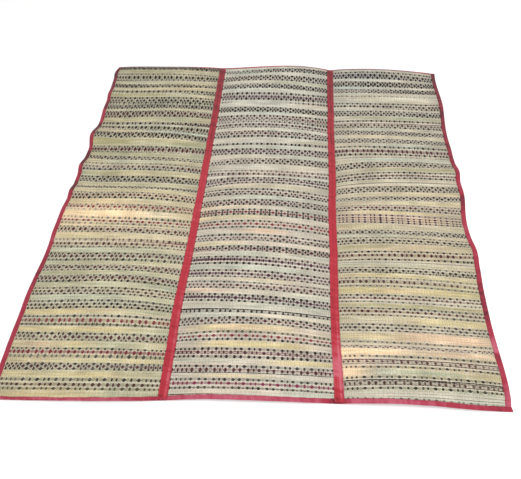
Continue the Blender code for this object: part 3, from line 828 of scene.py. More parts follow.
# Where the painted cool light starts towards the back, and how far it runs.
PAINTED_COOL_LIGHT_STARTS = 0.9
PAINTED_COOL_LIGHT_RUNS = 1.2


def bundle_colours(panel, tone, warmth):
    """Straw as it comes from its bundles: the panel's four straws, blended by tone and warmth."""
    share = (0.5 + 0.5 * tone)[..., None]
    warm = (0.5 + 0.5 * warmth)[..., None]
    straw = STRAW[panel]
    return blend(blend(straw[0], straw[1], share), blend(straw[2], straw[3], share), warm)


def washed(panel, places, colours, tone):
    """Straw with the panel's washes laid over it."""
    across = ACROSS[panel]
    for wash in WASHES[panel]:
        away = abs(places - LIES_AT[panel](wash.y * MM))
        along = fade(away - WASH_CORE * wash.half * MM, WASH_FADES * wash.half * MM)[:, None]
        into = np.minimum(across - wash.start, wash.end - across) / WASH_END
        depth = along * np.clip(into, 0, 1) * (1 + WASH_RAGGED * tone) * wash.strength / STRONGEST
        colours = blend(colours, DYES[wash.dye], np.clip(depth, 0, MOST_WASHED)[..., None])
    return colours


def straw_colours(panel, places, random):
    """Straw and its washes, with painted cool light at the back and painted light and shade across each
    swell: an array of rows by lines by red, green and blue.
    """
    tone = drift(random, places, TONE_STEP, 5)
    warmth = drift(random, places, WARMTH_STEP, 4)
    colours = washed(panel, places, bundle_colours(panel, tone, warmth), tone)
    # Painted cool light, stronger further back.
    further_back = fade(PAINTED_COOL_LIGHT_STARTS - places, PAINTED_COOL_LIGHT_RUNS)[:, None, None]
    colours = colours * blend(np.ones(3), PAINTED_COOL_LIGHT_AT_BACK[panel], further_back)
    across = ACROSS[panel]
    # Painted shade on the flanks of each swell, and painted light on its crest.
    flank_shade = fade(np.minimum(across, 1 - across), FLANK_SHADE_REACH)
    flank_shade = flank_shade + RIGHT_FLANK_PAINTED_SHADE[panel] * fade(1 - across, RIGHT_FLANK_SHADE_REACH)
    return colours * blend(CREST_PAINTED_LIGHT, FLANK_PAINTED_SHADE, flank_shade)[:, None]


print("straw drifts over", TONE_STEP / MM, "and", WARMTH_STEP / MM, "mm")

# %% Dyed rows for each point of the face
ROW_WANDER = 0.7 * MM
FARTHEST_FROM_ROW = 8 * MM
FAINTEST_HALF = 0.68
HALF_GROWS = 0.4
NOWHERE = -0.1
WORST = -1000.0
STOPS_IN_ROW = 9


def row_over_panel(panel, row, random):
    """How far a row wanders, how strong it is and half its height, for each line of points."""
    wander = across_lines(random, -ROW_WANDER, ROW_WANDER, STOPS_IN_ROW)
    strength = blend(row.left, row.right, ACROSS[panel])
    strength = strength * across_lines(random, 0.85, 1.1, STOPS_IN_ROW) / STRONGEST
    half = row.half * MM * HALF_OF_PANEL[panel] * HALF_OF_SHED[row.shed] * TALLER_AT(row.y * MM)
    half = half * across_lines(random, 0.85, 1.15, STOPS_IN_ROW)
    return wander, strength, half * (FAINTEST_HALF + HALF_GROWS * np.clip(strength, 0, 1))


def shed_rows(panel, shed, places, random):
    """For each point, the nearest row's dye with its strength, how far inside the row the point
    is, and how much the row is narrowed between its columns."""
    inside = np.full((len(places), STEPS_ACROSS + 1), NOWHERE)
    dyes = np.zeros((*inside.shape, 4))
    narrowed = np.zeros(inside.shape)
    best = np.full(inside.shape, WORST)
    for row in CHART[panel]:
        wander, strength, half = row_over_panel(panel, row, random)
        if row.shed not in (shed, BOTH):
            continue
        depth = half - abs(places[:, None] - LIES_AT[panel](row.y * MM) - wander)
        score = np.minimum(depth, 0) / MM + 0.5 * strength
        better = (score > best) & (depth > -FARTHEST_FROM_ROW)
        best = np.where(better, score, best)
        inside = np.where(better, depth, inside)
        narrowed = np.where(better, half * NARROWED[row.shed], narrowed)
        darkness = strength * DARKER_AT(row.y * MM)
        dyed = np.column_stack([np.tile(DYES[row.dye], (len(darkness), 1)), darkness])
        dyes = np.where(better[..., None], dyed, dyes)
    return dyes, inside, narrowed


print("a row wanders by up to", ROW_WANDER / MM, "mm")

# %% [markdown]
# ## Weaving a panel
#
# A panel starts as two flat grids, a fine one for the woven face and a coarser one for the
# underside, because nobody sees the underside closely. Their four edges are bridged, which makes
# one closed sheet. The points are then moved to where the mat lies: each line of points across
# is one step of a reed, and on the face the points rise and fall in turn, so that at each column
# the reeds of one shed stand up and those of the other lie low.

# %% Two grids made one closed sheet
GRID_HALF = 0.5


def new_object(name, mesh):
    """An object at the origin that holds a finished bmesh."""
    data = bpy.data.meshes.new(name)
    mesh.to_mesh(data)
    mesh.free()
    piece = bpy.data.objects.new(name, data)
    bpy.context.scene.collection.objects.link(piece)
    return piece


def on_side(edge, axis, side):
    """Whether an edge lies on one side of a flat grid."""
    return all(abs(vertex.co[axis] - side * GRID_HALF) < 1e-6 for vertex in edge.verts)


def closed_double_grid(lines, rows, under_step):
    """A fine grid over a coarser one, their edges bridged into one closed sheet."""
    mesh = bmesh.new()
    face = bmesh.ops.create_grid(mesh, x_segments=lines, y_segments=rows, size=GRID_HALF)
    bmesh.ops.translate(mesh, verts=face["verts"], vec=(0, 0, 1))
    bmesh.ops.create_grid(mesh, x_segments=lines, y_segments=rows // under_step, size=GRID_HALF)
    rim = [edge for edge in mesh.edges if edge.is_boundary]
    for axis in (0, 1):
        for side in (-1, 1):
            bmesh.ops.bridge_loops(mesh, edges=[edge for edge in rim if on_side(edge, axis, side)])
    bmesh.ops.recalc_face_normals(mesh, faces=mesh.faces[:])
    return mesh


print("a panel's face has", STEPS_ACROSS, "by", ROWS, "quads")


# %% Values that a mesh carries for its material
def points_of(piece):
    """The points of an object's mesh as an array."""
    points = np.empty(len(piece.data.vertices) * 3)
    piece.data.vertices.foreach_get("co", points)
    return points.reshape(-1, 3)


def set_uv(piece, name, values):
    """A UV map from one pair of values for each point."""
    corner_points = np.empty(len(piece.data.loops), dtype=np.int32)
    piece.data.loops.foreach_get("vertex_index", corner_points)
    layer = piece.data.uv_layers.new(name=name)
    layer.uv.foreach_set("vector", values[corner_points].astype(np.float32).ravel())


def set_values(piece, name, values):
    """A number for each point."""
    layer = piece.data.attributes.new(name, "FLOAT", "POINT")
    layer.data.foreach_set("value", values.astype(np.float32))


def set_colours(piece, name, colours):
    """A colour for each point, with 1 as its fourth value where it has only three."""
    if colours.shape[1] == 3:
        colours = np.column_stack([colours, np.ones(len(colours))])
    layer = piece.data.attributes.new(name, "FLOAT_COLOR", "POINT")
    layer.data.foreach_set("color", colours.astype(np.float32).ravel())


# %% Weave the panels
RELIEF = 0.6 * MM
SHARP = math.radians(50)


def weave(panel):
    """One panel: its two grids moved to where the mat lies, with what each point shows."""
    piece = new_object("woven_" + panel, closed_double_grid(STEPS_ACROSS, ROWS, UNDER_STEP))
    flat = points_of(piece)
    line = np.rint((flat[:, 0] + GRID_HALF) * STEPS_ACROSS).astype(int)
    row = np.rint((flat[:, 1] + GRID_HALF) * ROWS).astype(int)
    face_side = flat[:, 2] > HALF_WAY
    u = ACROSS[panel][line]
    t = row / ROWS
    v = reed_share(panel, u, t)
    x, y = plan(panel, u, v)
    first_shed = LIFT[panel][line] > 0
    lowered = np.where(first_shed == (row % 2 == 1), RELIEF, 0.0)
    z = height(panel, u, v) + np.where(face_side, REED_CLOTH - lowered, 0.0)
    piece.data.vertices.foreach_set("co", np.column_stack([x, y, z]).ravel())

    random = np.random.default_rng(SEEDS[panel])
    places = plan(panel, HALF_WAY, np.arange(ROWS + 1) / ROWS)[1]
    set_uv(piece, "weave", np.column_stack([u * WIDTH[panel], t * LENGTH]))
    set_values(piece, "lift", LIFT[panel][line])
    set_values(piece, "fullness", FULLNESS[panel][line])
    set_colours(piece, "straw", straw_colours(panel, places, random)[row, line])
    for shed in (FIRST, SECOND):
        dyes, inside, narrowed = shed_rows(panel, shed, places, random)
        set_colours(piece, shed + "_dye", dyes[row, line])
        set_values(piece, shed + "_inside", inside[row, line])
        set_values(piece, shed + "_narrowed", narrowed[row, line])
    piece.data.shade_smooth()
    piece.data.set_sharp_from_angle(angle=SHARP)
    print(piece.name, len(piece.data.polygons), "faces, highest point", round(float(z.max()), 4))
    return piece


woven = {panel: weave(panel) for panel in PANELS}

# %% [markdown]
# ## The reed material
#
# The finish of a reed is its colour, the fine lines of its fibres, a soft gloss on its skin and a
# hollow where it dips under a thread, darkened with painted shade, as are the gaps between reeds.
# "Lift" says how far a point is inside a column of the first shed: above nothing it shows that
# shed's reeds, below nothing the other's. A dash is drawn where the point is also inside a dyed
# row. Reeds are squeezed where a thread crosses them, so the row is narrower there, which gives the
# dashes their pointed ends. Each reed takes the dye in its own way, so its number along the panel
# picks a tone from a noise. Long chains of nodes are easier to read as sums and products, so a
# small class wires them up.


# %% Helpers for node materials
class Nodes:
    """Adds nodes to a new material and wires them up in one call each."""

    def __init__(self, name):
        self.material = bpy.data.materials.new(name)
        self.material.use_nodes = True
        self.tree = self.material.node_tree
        self.shader = self.tree.nodes["Principled BSDF"]

    def add(self, kind, inputs=None, **settings):
        node = self.tree.nodes.new(kind)
        for name, value in settings.items():
            setattr(node, name, value)
        for name, value in (inputs or {}).items():
            self.put(node.inputs[name], value)
        return node

    def put(self, socket, value):
        if isinstance(value, bpy.types.NodeSocket):
            self.tree.links.new(value, socket)
        else:
            socket.default_value = value

    def math(self, operation, first, second=0.0):
        return self.add("ShaderNodeMath", {0: first, 1: second}, operation=operation).outputs[0]

    def product(self, first, *others):
        for value in others:
            first = self.math("MULTIPLY", first, value)
        return first

    def total(self, first, *others):
        for value in others:
            first = self.math("ADD", first, value)
        return first

    def less(self, first, second):
        return self.math("SUBTRACT", first, second)

    def clamped(self, value):
        return self.add("ShaderNodeClamp", {0: value}).outputs[0]

    def carried(self, name, output="Fac"):
        """A value that each point of the mesh carries."""
        return self.add("ShaderNodeAttribute", attribute_name=name).outputs[output]

    def grey(self, value):
        return self.add("ShaderNodeCombineColor", {0: value, 1: value, 2: value}).outputs[0]

    def mix(self, share, first, second, blend_type="MIX"):
        node = self.add("ShaderNodeMix", data_type="RGBA", blend_type=blend_type)
        for number, value in ((0, share), (6, first), (7, second)):
            self.put(node.inputs[number], value)
        return node.outputs[2]

    def shaded(self, colour, by):
        return self.mix(1.0, colour, by, "MULTIPLY")

    def between(self, value, low, high, to_low=0.0, to_high=1.0):
        """Eases from one value to another while the input goes from low to high."""
        inputs = {"Value": value, "From Min": low, "From Max": high}
        inputs.update({"To Min": to_low, "To Max": to_high})
        return self.add("ShaderNodeMapRange", inputs, interpolation_type="SMOOTHSTEP").outputs[0]

    def noise(self, vector, scale, detail=2.0):
        """Noise on a vector that is first stretched by a scale for each axis."""
        stretched = self.add("ShaderNodeMapping", {"Vector": vector, "Scale": scale}).outputs[0]
        inputs = {"Vector": stretched, "Scale": 1.0, "Detail": detail}
        return self.add("ShaderNodeTexNoise", inputs).outputs[0]

    def finish(self, colour, shade, roughness, relief, strength=0.6, distance=1.0):
        """Wires up the shaded colour, the roughness and the bump, and gives the material."""
        self.put(self.shader.inputs["Base Color"], self.shaded(colour, self.grey(shade)))
        self.put(self.shader.inputs["Roughness"], roughness)
        inputs = {"Strength": strength, "Distance": distance, "Height": relief}
        self.put(self.shader.inputs["Normal"], self.add("ShaderNodeBump", inputs).outputs[0])
        return self.material


# %% One shed's reeds
ROUGH_END = 1.0 * MM
DASH_EDGE = 0.4 * MM
DYE_DEPTH = 2.3
PALE_REACH = 10 * MM
PALE_STARTS = 2 * MM
PALE_BESIDE_DYE = 0.5
PALE_STRAW = seen_colour(216, 207, 193)
PINK_TINT = (1.06, 0.98, 0.95, 1.0)
GREEN_TINT = (0.95, 1.01, 0.99, 1.0)
TONE_SCALE = (9, 3.7, 1)
END_SCALE = (75, 5.3, 1)
HUE_SCALE = (4, 7.9, 1)


def own_straw(nodes, straw, tone, hue, inside):
    """Each reed's own straw, a little paler beside a dyed row."""
    tint = nodes.mix(nodes.between(hue, 0.3, 0.7), PINK_TINT, GREEN_TINT)
    straw = nodes.shaded(straw, nodes.grey(nodes.between(tone, 0.28, 0.72, 0.76, 1.18)))
    beside = nodes.between(inside, -PALE_REACH, -PALE_STARTS, 0.0, PALE_BESIDE_DYE)
    return nodes.mix(beside, nodes.shaded(straw, tint), (*PALE_STRAW, 1.0))


def shed_surface(nodes, shed, uv, fullness, straw, phase):
    """Colour, roundness and dye of one shed's reeds. The phase is where its first reed begins."""
    place = nodes.add("ShaderNodeSeparateXYZ", {0: uv})
    turns = nodes.total(nodes.math("DIVIDE", place.outputs[1], REED_PITCH), phase)
    number = nodes.math("FLOOR", turns)
    roundness = nodes.math("ABSOLUTE", nodes.math("SINE", nodes.product(turns, math.pi)))
    own_place = nodes.add("ShaderNodeCombineXYZ", {0: place.outputs[0], 1: number}).outputs[0]
    tone, end, hue = [
        nodes.noise(own_place, scale, detail=1.0) for scale in (TONE_SCALE, END_SCALE, HUE_SCALE)
    ]

    full = nodes.between(nodes.math("ABSOLUTE", fullness), 0.0, 0.75)
    squeezed = nodes.product(nodes.less(full, 1.0), nodes.carried(shed + "_narrowed"))
    rough = nodes.product(nodes.less(end, 0.5), 2 * ROUGH_END)
    inside = nodes.total(nodes.carried(shed + "_inside"), squeezed, rough)
    dash = nodes.between(inside, -DASH_EDGE, DASH_EDGE)

    dye = nodes.add("ShaderNodeAttribute", attribute_name=shed + "_dye")
    taken = nodes.product(
        dye.outputs["Alpha"],
        nodes.between(tone, 0.25, 0.75, 0.78, 1.2),
        nodes.between(end, 0.3, 0.7, 0.8, 1.15),
        nodes.total(nodes.product(full, 0.45), 0.6),
    )
    left_bare = nodes.math("POWER", nodes.less(1.0, nodes.clamped(taken)), DYE_DEPTH)
    dyed = nodes.product(dash, nodes.less(1.0, left_bare))
    colour = nodes.mix(dyed, own_straw(nodes, straw, tone, hue, inside), dye.outputs["Color"])
    return colour, roundness, dyed


print("a dash's end is rough by", ROUGH_END / MM, "mm")

# %% Reed material
COLUMN_WANDER = 1.0 * MM
COLUMN_EDGE = 0.25 * MM
# A dyed reed beneath shows between the reeds on top, darkened by IN_SHADE as painted shade.
SHADED_DYE_SHOWS_THROUGH = 0.26
DYED_PACKED = 0.8
IN_SHADE = (0.62, 0.6, 0.58, 1.0)
PIT_REACH = 1.4 * MM


def reed_material():
    nodes = Nodes("woven_reed")
    uv = nodes.add("ShaderNodeUVMap", uv_map="weave").outputs[0]
    fullness = nodes.carried("fullness")
    straw = nodes.carried("straw", "Color")
    wander = nodes.product(nodes.less(nodes.noise(uv, (30, 357, 1)), 0.5), 2 * COLUMN_WANDER)
    lift = nodes.total(nodes.carried("lift"), wander)
    on_top = nodes.between(lift, -COLUMN_EDGE, COLUMN_EDGE)
    first, first_round, first_dyed = shed_surface(nodes, FIRST, uv, fullness, straw, 0.5)
    second, second_round, second_dyed = shed_surface(nodes, SECOND, uv, fullness, straw, 0.0)
    rounding = nodes.add("ShaderNodeMix", {0: on_top, 2: second_round, 3: first_round}).outputs[0]
    between_reeds = nodes.between(rounding, 0.1, 0.6, 0.9, 0.0)

    def over(top, top_dyed, under, under_dyed):
        """One shed's reeds with the other's seen between them in painted shade. Dyed reeds are packed
        closer.
        """
        packed = nodes.less(1.0, nodes.product(top_dyed, DYED_PACKED))
        shown = nodes.total(between_reeds, nodes.product(under_dyed, SHADED_DYE_SHOWS_THROUGH))
        return nodes.mix(nodes.clamped(nodes.product(shown, packed)), top, nodes.shaded(under, IN_SHADE))

    under_second = over(second, second_dyed, first, first_dyed)
    colour = nodes.mix(on_top, under_second, over(first, first_dyed, second, second_dyed))

    fibres = nodes.noise(uv, (25, 2400, 1), detail=3.0)
    stains = nodes.noise(uv, (9, 14, 1), detail=4.0)
    pit = nodes.between(nodes.math("ABSOLUTE", lift), 0.0, PIT_REACH)
    # Painted shade darkens the hollows where reeds dip under the threads and the gaps between reeds; fibres
    # and stains are the reeds' own tone.
    shade = nodes.product(
        nodes.between(fibres, 0.3, 0.7, 0.86, 1.08),
        nodes.between(stains, 0.3, 0.7, 0.88, 1.1),
        nodes.between(pit, 0.0, 1.0, 0.7, 1.0),
        nodes.between(rounding, 0.0, 0.5, 0.85, 1.0),
    )
    relief = nodes.total(
        nodes.product(rounding, 0.35 * MM), nodes.product(fibres, 0.08 * MM), nodes.product(pit, 0.2 * MM)
    )
    nodes.shader.inputs["Specular IOR Level"].default_value = 0.15
    return nodes.finish(colour, shade, nodes.between(fibres, 0.3, 0.7, 0.66, 0.5), relief)


reed = reed_material()
for piece in woven.values():
    piece.data.materials.append(reed)
print("reed material:", len(reed.node_tree.nodes), "nodes")

# %% [markdown]
# ## The red cloth
#
# Tape and binding are cut from plain woven cotton. Close up the cloth is a fine check of threads
# that go over and under, so two sine waves multiplied make its bump, and darken it as painted shade
# between the threads. From a step away it is the uneven dye, the faded stretches, the ridges lit
# with painted light and the worn, fuzzy surface that make it cloth.


# %% Cotton material
COTTON_THREAD = 0.55 * MM
FADING_AND_LIGHT_STEP = 0.5
# Each cloth from its deepest red to washed out, half a step apart. The same scale carries fading and
# painted light and shade: deep red for painted shade, the palest red for painted highlights.
TAPE_REDS = [seen_colour(92, 14, 22), seen_colour(168, 38, 52), seen_colour(190, 94, 107)]
BINDING_REDS = [
    seen_colour(82, 16, 28), seen_colour(152, 38, 58), seen_colour(180, 86, 106), seen_colour(150, 120, 120)
]


def cotton_material(name, reds):
    nodes = Nodes(name)
    uv = nodes.add("ShaderNodeUVMap", uv_map="cloth").outputs[0]
    parts = nodes.add("ShaderNodeSeparateXYZ", {0: uv})
    turns = 2 * math.pi / COTTON_THREAD
    across, along = [nodes.math("SINE", nodes.product(parts.outputs[axis], turns)) for axis in (0, 1)]
    threads = nodes.product(across, along)
    streaks = nodes.noise(uv, (240, 9, 1), detail=3.0)
    patches = nodes.noise(uv, (30, 14, 1), detail=4.0)
    slubs = nodes.noise(uv, (1500, 160, 1), detail=2.0)
    tone = nodes.total(nodes.product(streaks, 0.5), nodes.product(patches, 0.5))
    uneven_tone = nodes.product(nodes.less(tone, 0.5), 0.7)
    # Fading and uneven dye, with the painted light and shade of the cloth's ribs, creases and folds.
    wear_and_painted_light = nodes.total(nodes.carried("fading_and_light"), uneven_tone, nodes.carried("painted_cloth_light"))
    colour = (*reds[0], 1.0)
    for number, red in enumerate(reds[1:]):
        step = nodes.between(wear_and_painted_light, FADING_AND_LIGHT_STEP * number, FADING_AND_LIGHT_STEP * (number + 1))
        colour = nodes.mix(step, colour, (*red, 1.0))
    # The check of threads darkens the colour as painted shade between the threads; slubs are the yarn's
    # own.
    shade = nodes.product(
        nodes.between(threads, -1.0, 1.0, 0.84, 1.06), nodes.between(slubs, 0.3, 0.7, 0.9, 1.08)
    )
    relief = nodes.total(
        nodes.product(threads, 0.05 * MM), nodes.product(slubs, 0.12 * MM), nodes.product(patches, 0.9 * MM)
    )
    nodes.shader.inputs["Specular IOR Level"].default_value = 0.3
    nodes.shader.inputs["Sheen Weight"].default_value = 0.25
    nodes.shader.inputs["Sheen Roughness"].default_value = 0.5
    return nodes.finish(colour, shade, nodes.between(slubs, 0.3, 0.7, 0.78, 0.92), relief)


def thread_material():
    nodes = Nodes("red_thread")
    place = nodes.add("ShaderNodeTexCoord").outputs["Object"]
    twist = nodes.noise(place, (2600, 2600, 2600), detail=1.0)
    wear = nodes.noise(place, (40, 40, 40))
    colour = nodes.mix(nodes.between(wear, 0.35, 0.65), (*TAPE_REDS[0], 1.0), (*TAPE_REDS[2], 1.0))
    # The twist's turns are darkened and lightened as painted shade; the wear noise is the thread's own.
    shade = nodes.between(twist, 0.3, 0.7, 0.7, 1.1)
    roughness = nodes.between(twist, 0.3, 0.7, 0.5, 0.7)
    return nodes.finish(colour, shade, roughness, twist, strength=0.5, distance=0.1 * MM)


tape_cotton = cotton_material("red_tape", TAPE_REDS)
binding_cotton = cotton_material("red_binding", BINDING_REDS)
thread = thread_material()
print("cloth materials:", tape_cotton.name, binding_cotton.name, thread.name)

# %% [markdown]
# ## The seam tapes
#
# Each tape lies over a joint and is sewn down along both its sides. Sewing draws the cloth in at
# every few stitches, so its sides are a little scalloped and small puckers run in from them. The
# cloth sinks along the middle, where the two panels meet, and stands up in a soft ridge on each
# side of that. At the front the tape laps over the strip that binds the edge, so it climbs a
# little there. A flat grid is bent to that surface, and a Solidify modifier gives the cloth its
# thickness. How faded the cloth is along its run, and where it has painted light and a painted
# highlight, is a short table, because wear and light come in stretches.

# %% A grid of cloth, and how it is uneven
CLOTH_STEP = 3.0 * MM
PUCKER_STEP = 17.0 * MM
RIB_STEP = 6.0 * MM
SMOOTHED_OVER = 0.6


def uneven(random, along, step):
    """Smooth random values from -1 to 1 at places along a strip."""
    stops = np.arange(along.min() - step, along.max() + 2 * step, step)
    stops = stops + random.uniform(-0.3, 0.3, len(stops)) * step
    values = random.uniform(-1, 1, len(stops))
    fine = np.arange(along.min(), along.max() + MM, MM)
    bent = np.interp(fine, stops, values)
    window = np.hanning(max(3, int(step / MM * SMOOTHED_OVER) | 1))
    padded = np.pad(bent, len(window) // 2, mode="edge")
    smooth = np.convolve(padded, window / window.sum(), mode="valid")
    return np.interp(along, fine, smooth)


def cloth_grid(name, lines, rows, place, uv_size):
    """A grid of cloth: place gives each point from its shares across and along the strip."""
    mesh = bmesh.new()
    bmesh.ops.create_grid(mesh, x_segments=lines, y_segments=rows, size=GRID_HALF)
    piece = new_object(name, mesh)
    flat = points_of(piece)
    across = flat[:, 0] + GRID_HALF
    along = flat[:, 1] + GRID_HALF
    x, y, z, painted_cloth_light = place(across, along)
    piece.data.vertices.foreach_set("co", np.column_stack([x, y, z]).ravel())
    # The painted light and shade of the cloth's ribs, creases and folds, which its material reads.
    set_values(piece, "painted_cloth_light", painted_cloth_light)
    set_uv(piece, "cloth", np.column_stack([across * uv_size[0], along * uv_size[1]]))
    piece.data.shade_smooth()
    return piece


def thicken(piece, thickness, offset):
    """Gives an open sheet its thickness and closes its rim."""
    solidify = piece.modifiers.new("thickness", "SOLIDIFY")
    solidify.thickness = thickness
    solidify.offset = offset
    return piece


FadingAndLight = namedtuple("FadingAndLight", "place share")


def set_fading_and_light(piece, table, axis):
    """How faded the cloth is at each point, with its painted light and shade, from a table of millimetres
    along one axis.
    """
    rows = [FadingAndLight(*row) for row in table]
    places = points_of(piece)[:, axis]
    set_values(piece, "fading_and_light", curve_through(rows, "place", "share", 1.0)(places))


print("cloth has a point every", CLOTH_STEP / MM, "mm and a pucker about every", PUCKER_STEP / MM, "mm")

# %% [markdown]
# ## The stitches
#
# A machine stitch shows as a short thread that dips into the cloth at both ends. A stretched ball
# of a few faces does for one, because there are hundreds in a row. A row follows the same place
# function as its cloth, so it rides on every pucker.

# %% Rows of stitches
STITCH = 2.7 * MM
STITCH_PITCH = 4.2 * MM
THREAD = 0.42 * MM
STITCHES_OVER = 0.9 * MM
stitches = {}


def stitch_row(name, place, across, length, over):
    """Short threads in a row, a little over the cloth's own surface."""
    ball = bmesh.new()
    bmesh.ops.create_uvsphere(ball, u_segments=6, v_segments=4, radius=1.0)
    one = bpy.data.meshes.new("one_stitch")
    ball.to_mesh(one)
    ball.free()
    count = int(length / STITCH_PITCH)
    mesh = bmesh.new()
    for _ in range(count):
        mesh.from_mesh(one)
    row = new_object(name, mesh)
    bpy.data.meshes.remove(one)
    shape = points_of(row).reshape(count, -1, 3)
    middles = (np.arange(count) + 0.5) / count
    reach = STITCH / 2 / length
    first, last = [
        np.column_stack(place(np.full(count, across), middles + sign * reach)[:3]) for sign in (-1, 1)
    ]
    forward = (last - first) / np.linalg.norm(last - first, axis=1)[:, None]
    sideways = np.cross((0, 0, 1), forward)
    sideways = sideways / np.linalg.norm(sideways, axis=1)[:, None]
    upwards = np.cross(forward, sideways)
    points = ((first + last) / 2 + (0, 0, over))[:, None]
    for axis, (way, size) in enumerate(((forward, STITCH / 2), (sideways, THREAD), (upwards, THREAD))):
        points = points + shape[..., axis : axis + 1] * size * way[:, None]
    row.data.vertices.foreach_set("co", points.ravel())
    row.data.shade_smooth()
    row.data.materials.append(thread)
    return row


print("a stitch every", STITCH_PITCH / MM, "mm")

# %% Sizes, fading and painted light of the tapes
# Fading along each tape, partly wear and partly painted light that brightens it towards the front. On the
# right tape the rise from -850 to -740 mm is a painted highlight.
TAPE_FADING_AND_LIGHT = {
    "left": [(-930, 0.5), (-700, 0.55), (-300, 0.5), (-100, 0.58), (120, 0.52), (300, 0.36), (930, 0.22)],
    "right": [
        (-930, 0.42), (-850, 0.64), (-785, 1.0), (-740, 0.86), (-650, 0.62), (-300, 0.5), (200, 0.38),
        (930, 0.2),
    ],
}
TAPE_STEPS = 14
TAPE_CLOTH = 0.8 * MM
TAPE_OVER_REEDS = 0.7 * MM
TAPE_OVER_STRIP = 1.7 * MM
TAPE_STARTS = 3.5 * MM
TAPE_CLIMBS_OVER = 8 * MM
SEAM_INSIDE = 2.4 * MM
CREASE_STEP = 60 * MM
SCALLOP = 0.9 * MM
PUCKER = 0.5 * MM
RIDGE = 0.5 * MM
RIB = 0.3 * MM
LOWEST = -0.4 * MM
print("a tape is", TAPE_WIDTH / MM, "mm wide and rises", TAPE_OVER_STRIP / MM, "mm over the front strip")


# %% Build the tapes
def beside_joint(left_panel, right_panel, offset, v):
    """Place on the floor, and height, at an offset to the right of a joint."""
    x_left, y_left = plan(left_panel, 1.0 + offset / WIDTH[left_panel], v)
    x_right, y_right = plan(right_panel, offset / WIDTH[right_panel], v)
    on_left = offset < 0
    base = np.where(
        on_left,
        height(left_panel, 1.0 + np.minimum(offset, 0) / WIDTH[left_panel], v),
        height(right_panel, np.maximum(offset, 0) / WIDTH[right_panel], v),
    )
    return np.where(on_left, x_left, x_right), np.where(on_left, y_left, y_right), base


def tape_painted_light(rib, side_share, v):
    """Painted light and shade: ribs catch painted light, the sunk middle is in painted shade, and near the
    front one half is lit brighter.
    """
    bright_side = fade(v, 0.4) * (fade(abs(side_share - 0.45), 0.4) - fade(abs(side_share + 0.5), 0.5))
    return 0.17 * rib - 0.12 * fade(abs(side_share), 0.3) + 0.22 * bright_side


def seam_tape(side, left_panel, right_panel, seed):
    """The tape over one joint, with its two rows of stitches."""
    random = np.random.default_rng(seed)
    rows = round(LENGTH / CLOTH_STEP)
    index = np.arange(rows + 1)
    places = np.linspace(0, LENGTH, rows + 1)
    left_wander = uneven(random, places, PUCKER_STEP)
    right_wander = uneven(random, places, PUCKER_STEP)
    creases = uneven(random, places, CREASE_STEP)
    ribs = uneven(random, places, RIB_STEP)
    middle_x = float(LINE_AT[side + "_joint"](0.0))
    strip_reach = float(FRONT_REACH_AT(middle_x))
    start = TAPE_STARTS / LENGTH
    end = 1 - float(BACK_REACH_AT(middle_x) + ROOM) / LENGTH

    def place(across, along):
        v = blend(start, end, along)
        step = along * rows
        side_share = 2 * across - 1
        wander = np.where(
            side_share < 0, np.interp(step, index, left_wander), np.interp(step, index, right_wander)
        )
        offset = TAPE_WIDTH / 2 * side_share + np.sign(side_share) * SCALLOP * wander * abs(side_share) ** 3
        x, y, base = beside_joint(left_panel, right_panel, offset, v)
        pucker = PUCKER * np.clip(wander, -0.2, 1) * (1 - abs(side_share) ** 6)
        crease = 0.15 * np.interp(step, index, creases)
        right_ridge = RIDGE * fade(abs(side_share - 0.35 - crease), 0.35)
        left_ridge = RIDGE * fade(abs(side_share + 0.4 + crease), 0.35)
        sink = -RIDGE * fade(abs(side_share), 0.16)
        rib = np.interp(step + side_share * 1.5, index, ribs) * blend(0.45, 1.0, fade(v, 0.7))
        uplift = np.maximum(pucker + right_ridge + left_ridge + sink + RIB * rib, LOWEST)
        climb = TAPE_OVER_STRIP * fade(v * LENGTH - strip_reach, TAPE_CLIMBS_OVER)
        z = base + REED_CLOTH + TAPE_OVER_REEDS + climb + uplift
        return x, y, z, tape_painted_light(rib, side_share, v)

    piece = cloth_grid("tape_" + side, TAPE_STEPS, rows, place, (TAPE_WIDTH, LENGTH))
    set_fading_and_light(piece, TAPE_FADING_AND_LIGHT[side], 1)
    piece.data.materials.append(tape_cotton)
    seam = SEAM_INSIDE / TAPE_WIDTH
    stitches[piece.name] = [
        stitch_row(f"{piece.name}_stitches_{hand}", place, across, LENGTH, STITCHES_OVER)
        for hand, across in (("left", seam), ("right", 1 - seam))
    ]
    return thicken(piece, TAPE_CLOTH, 1.0)


tapes = {
    "left": seam_tape("left", "left", "middle", 21),
    "right": seam_tape("right", "middle", "right", 22),
}
print("tapes:", {side: len(piece.data.polygons) for side, piece in tapes.items()})

# %% [markdown]
# ## The binding
#
# The binding is a strip folded lengthwise over the edge of the mat and sewn through both halves.
# Its section is an open loop: in along the underside, round the edge, and back over the face. A
# grid is wrapped round that section, one line of points at each turn of it, and follows the edge.
# The folded edge is round, the cloth pulls in at the stitches, and small slanting creases run
# across it where the strip was eased round a wave. Beside the tapes' ends and near the front right
# corner the front strip is pulled into wrinkles. Its face is 3 mm narrower than its solid's, and
# its right end is cut at a slant.

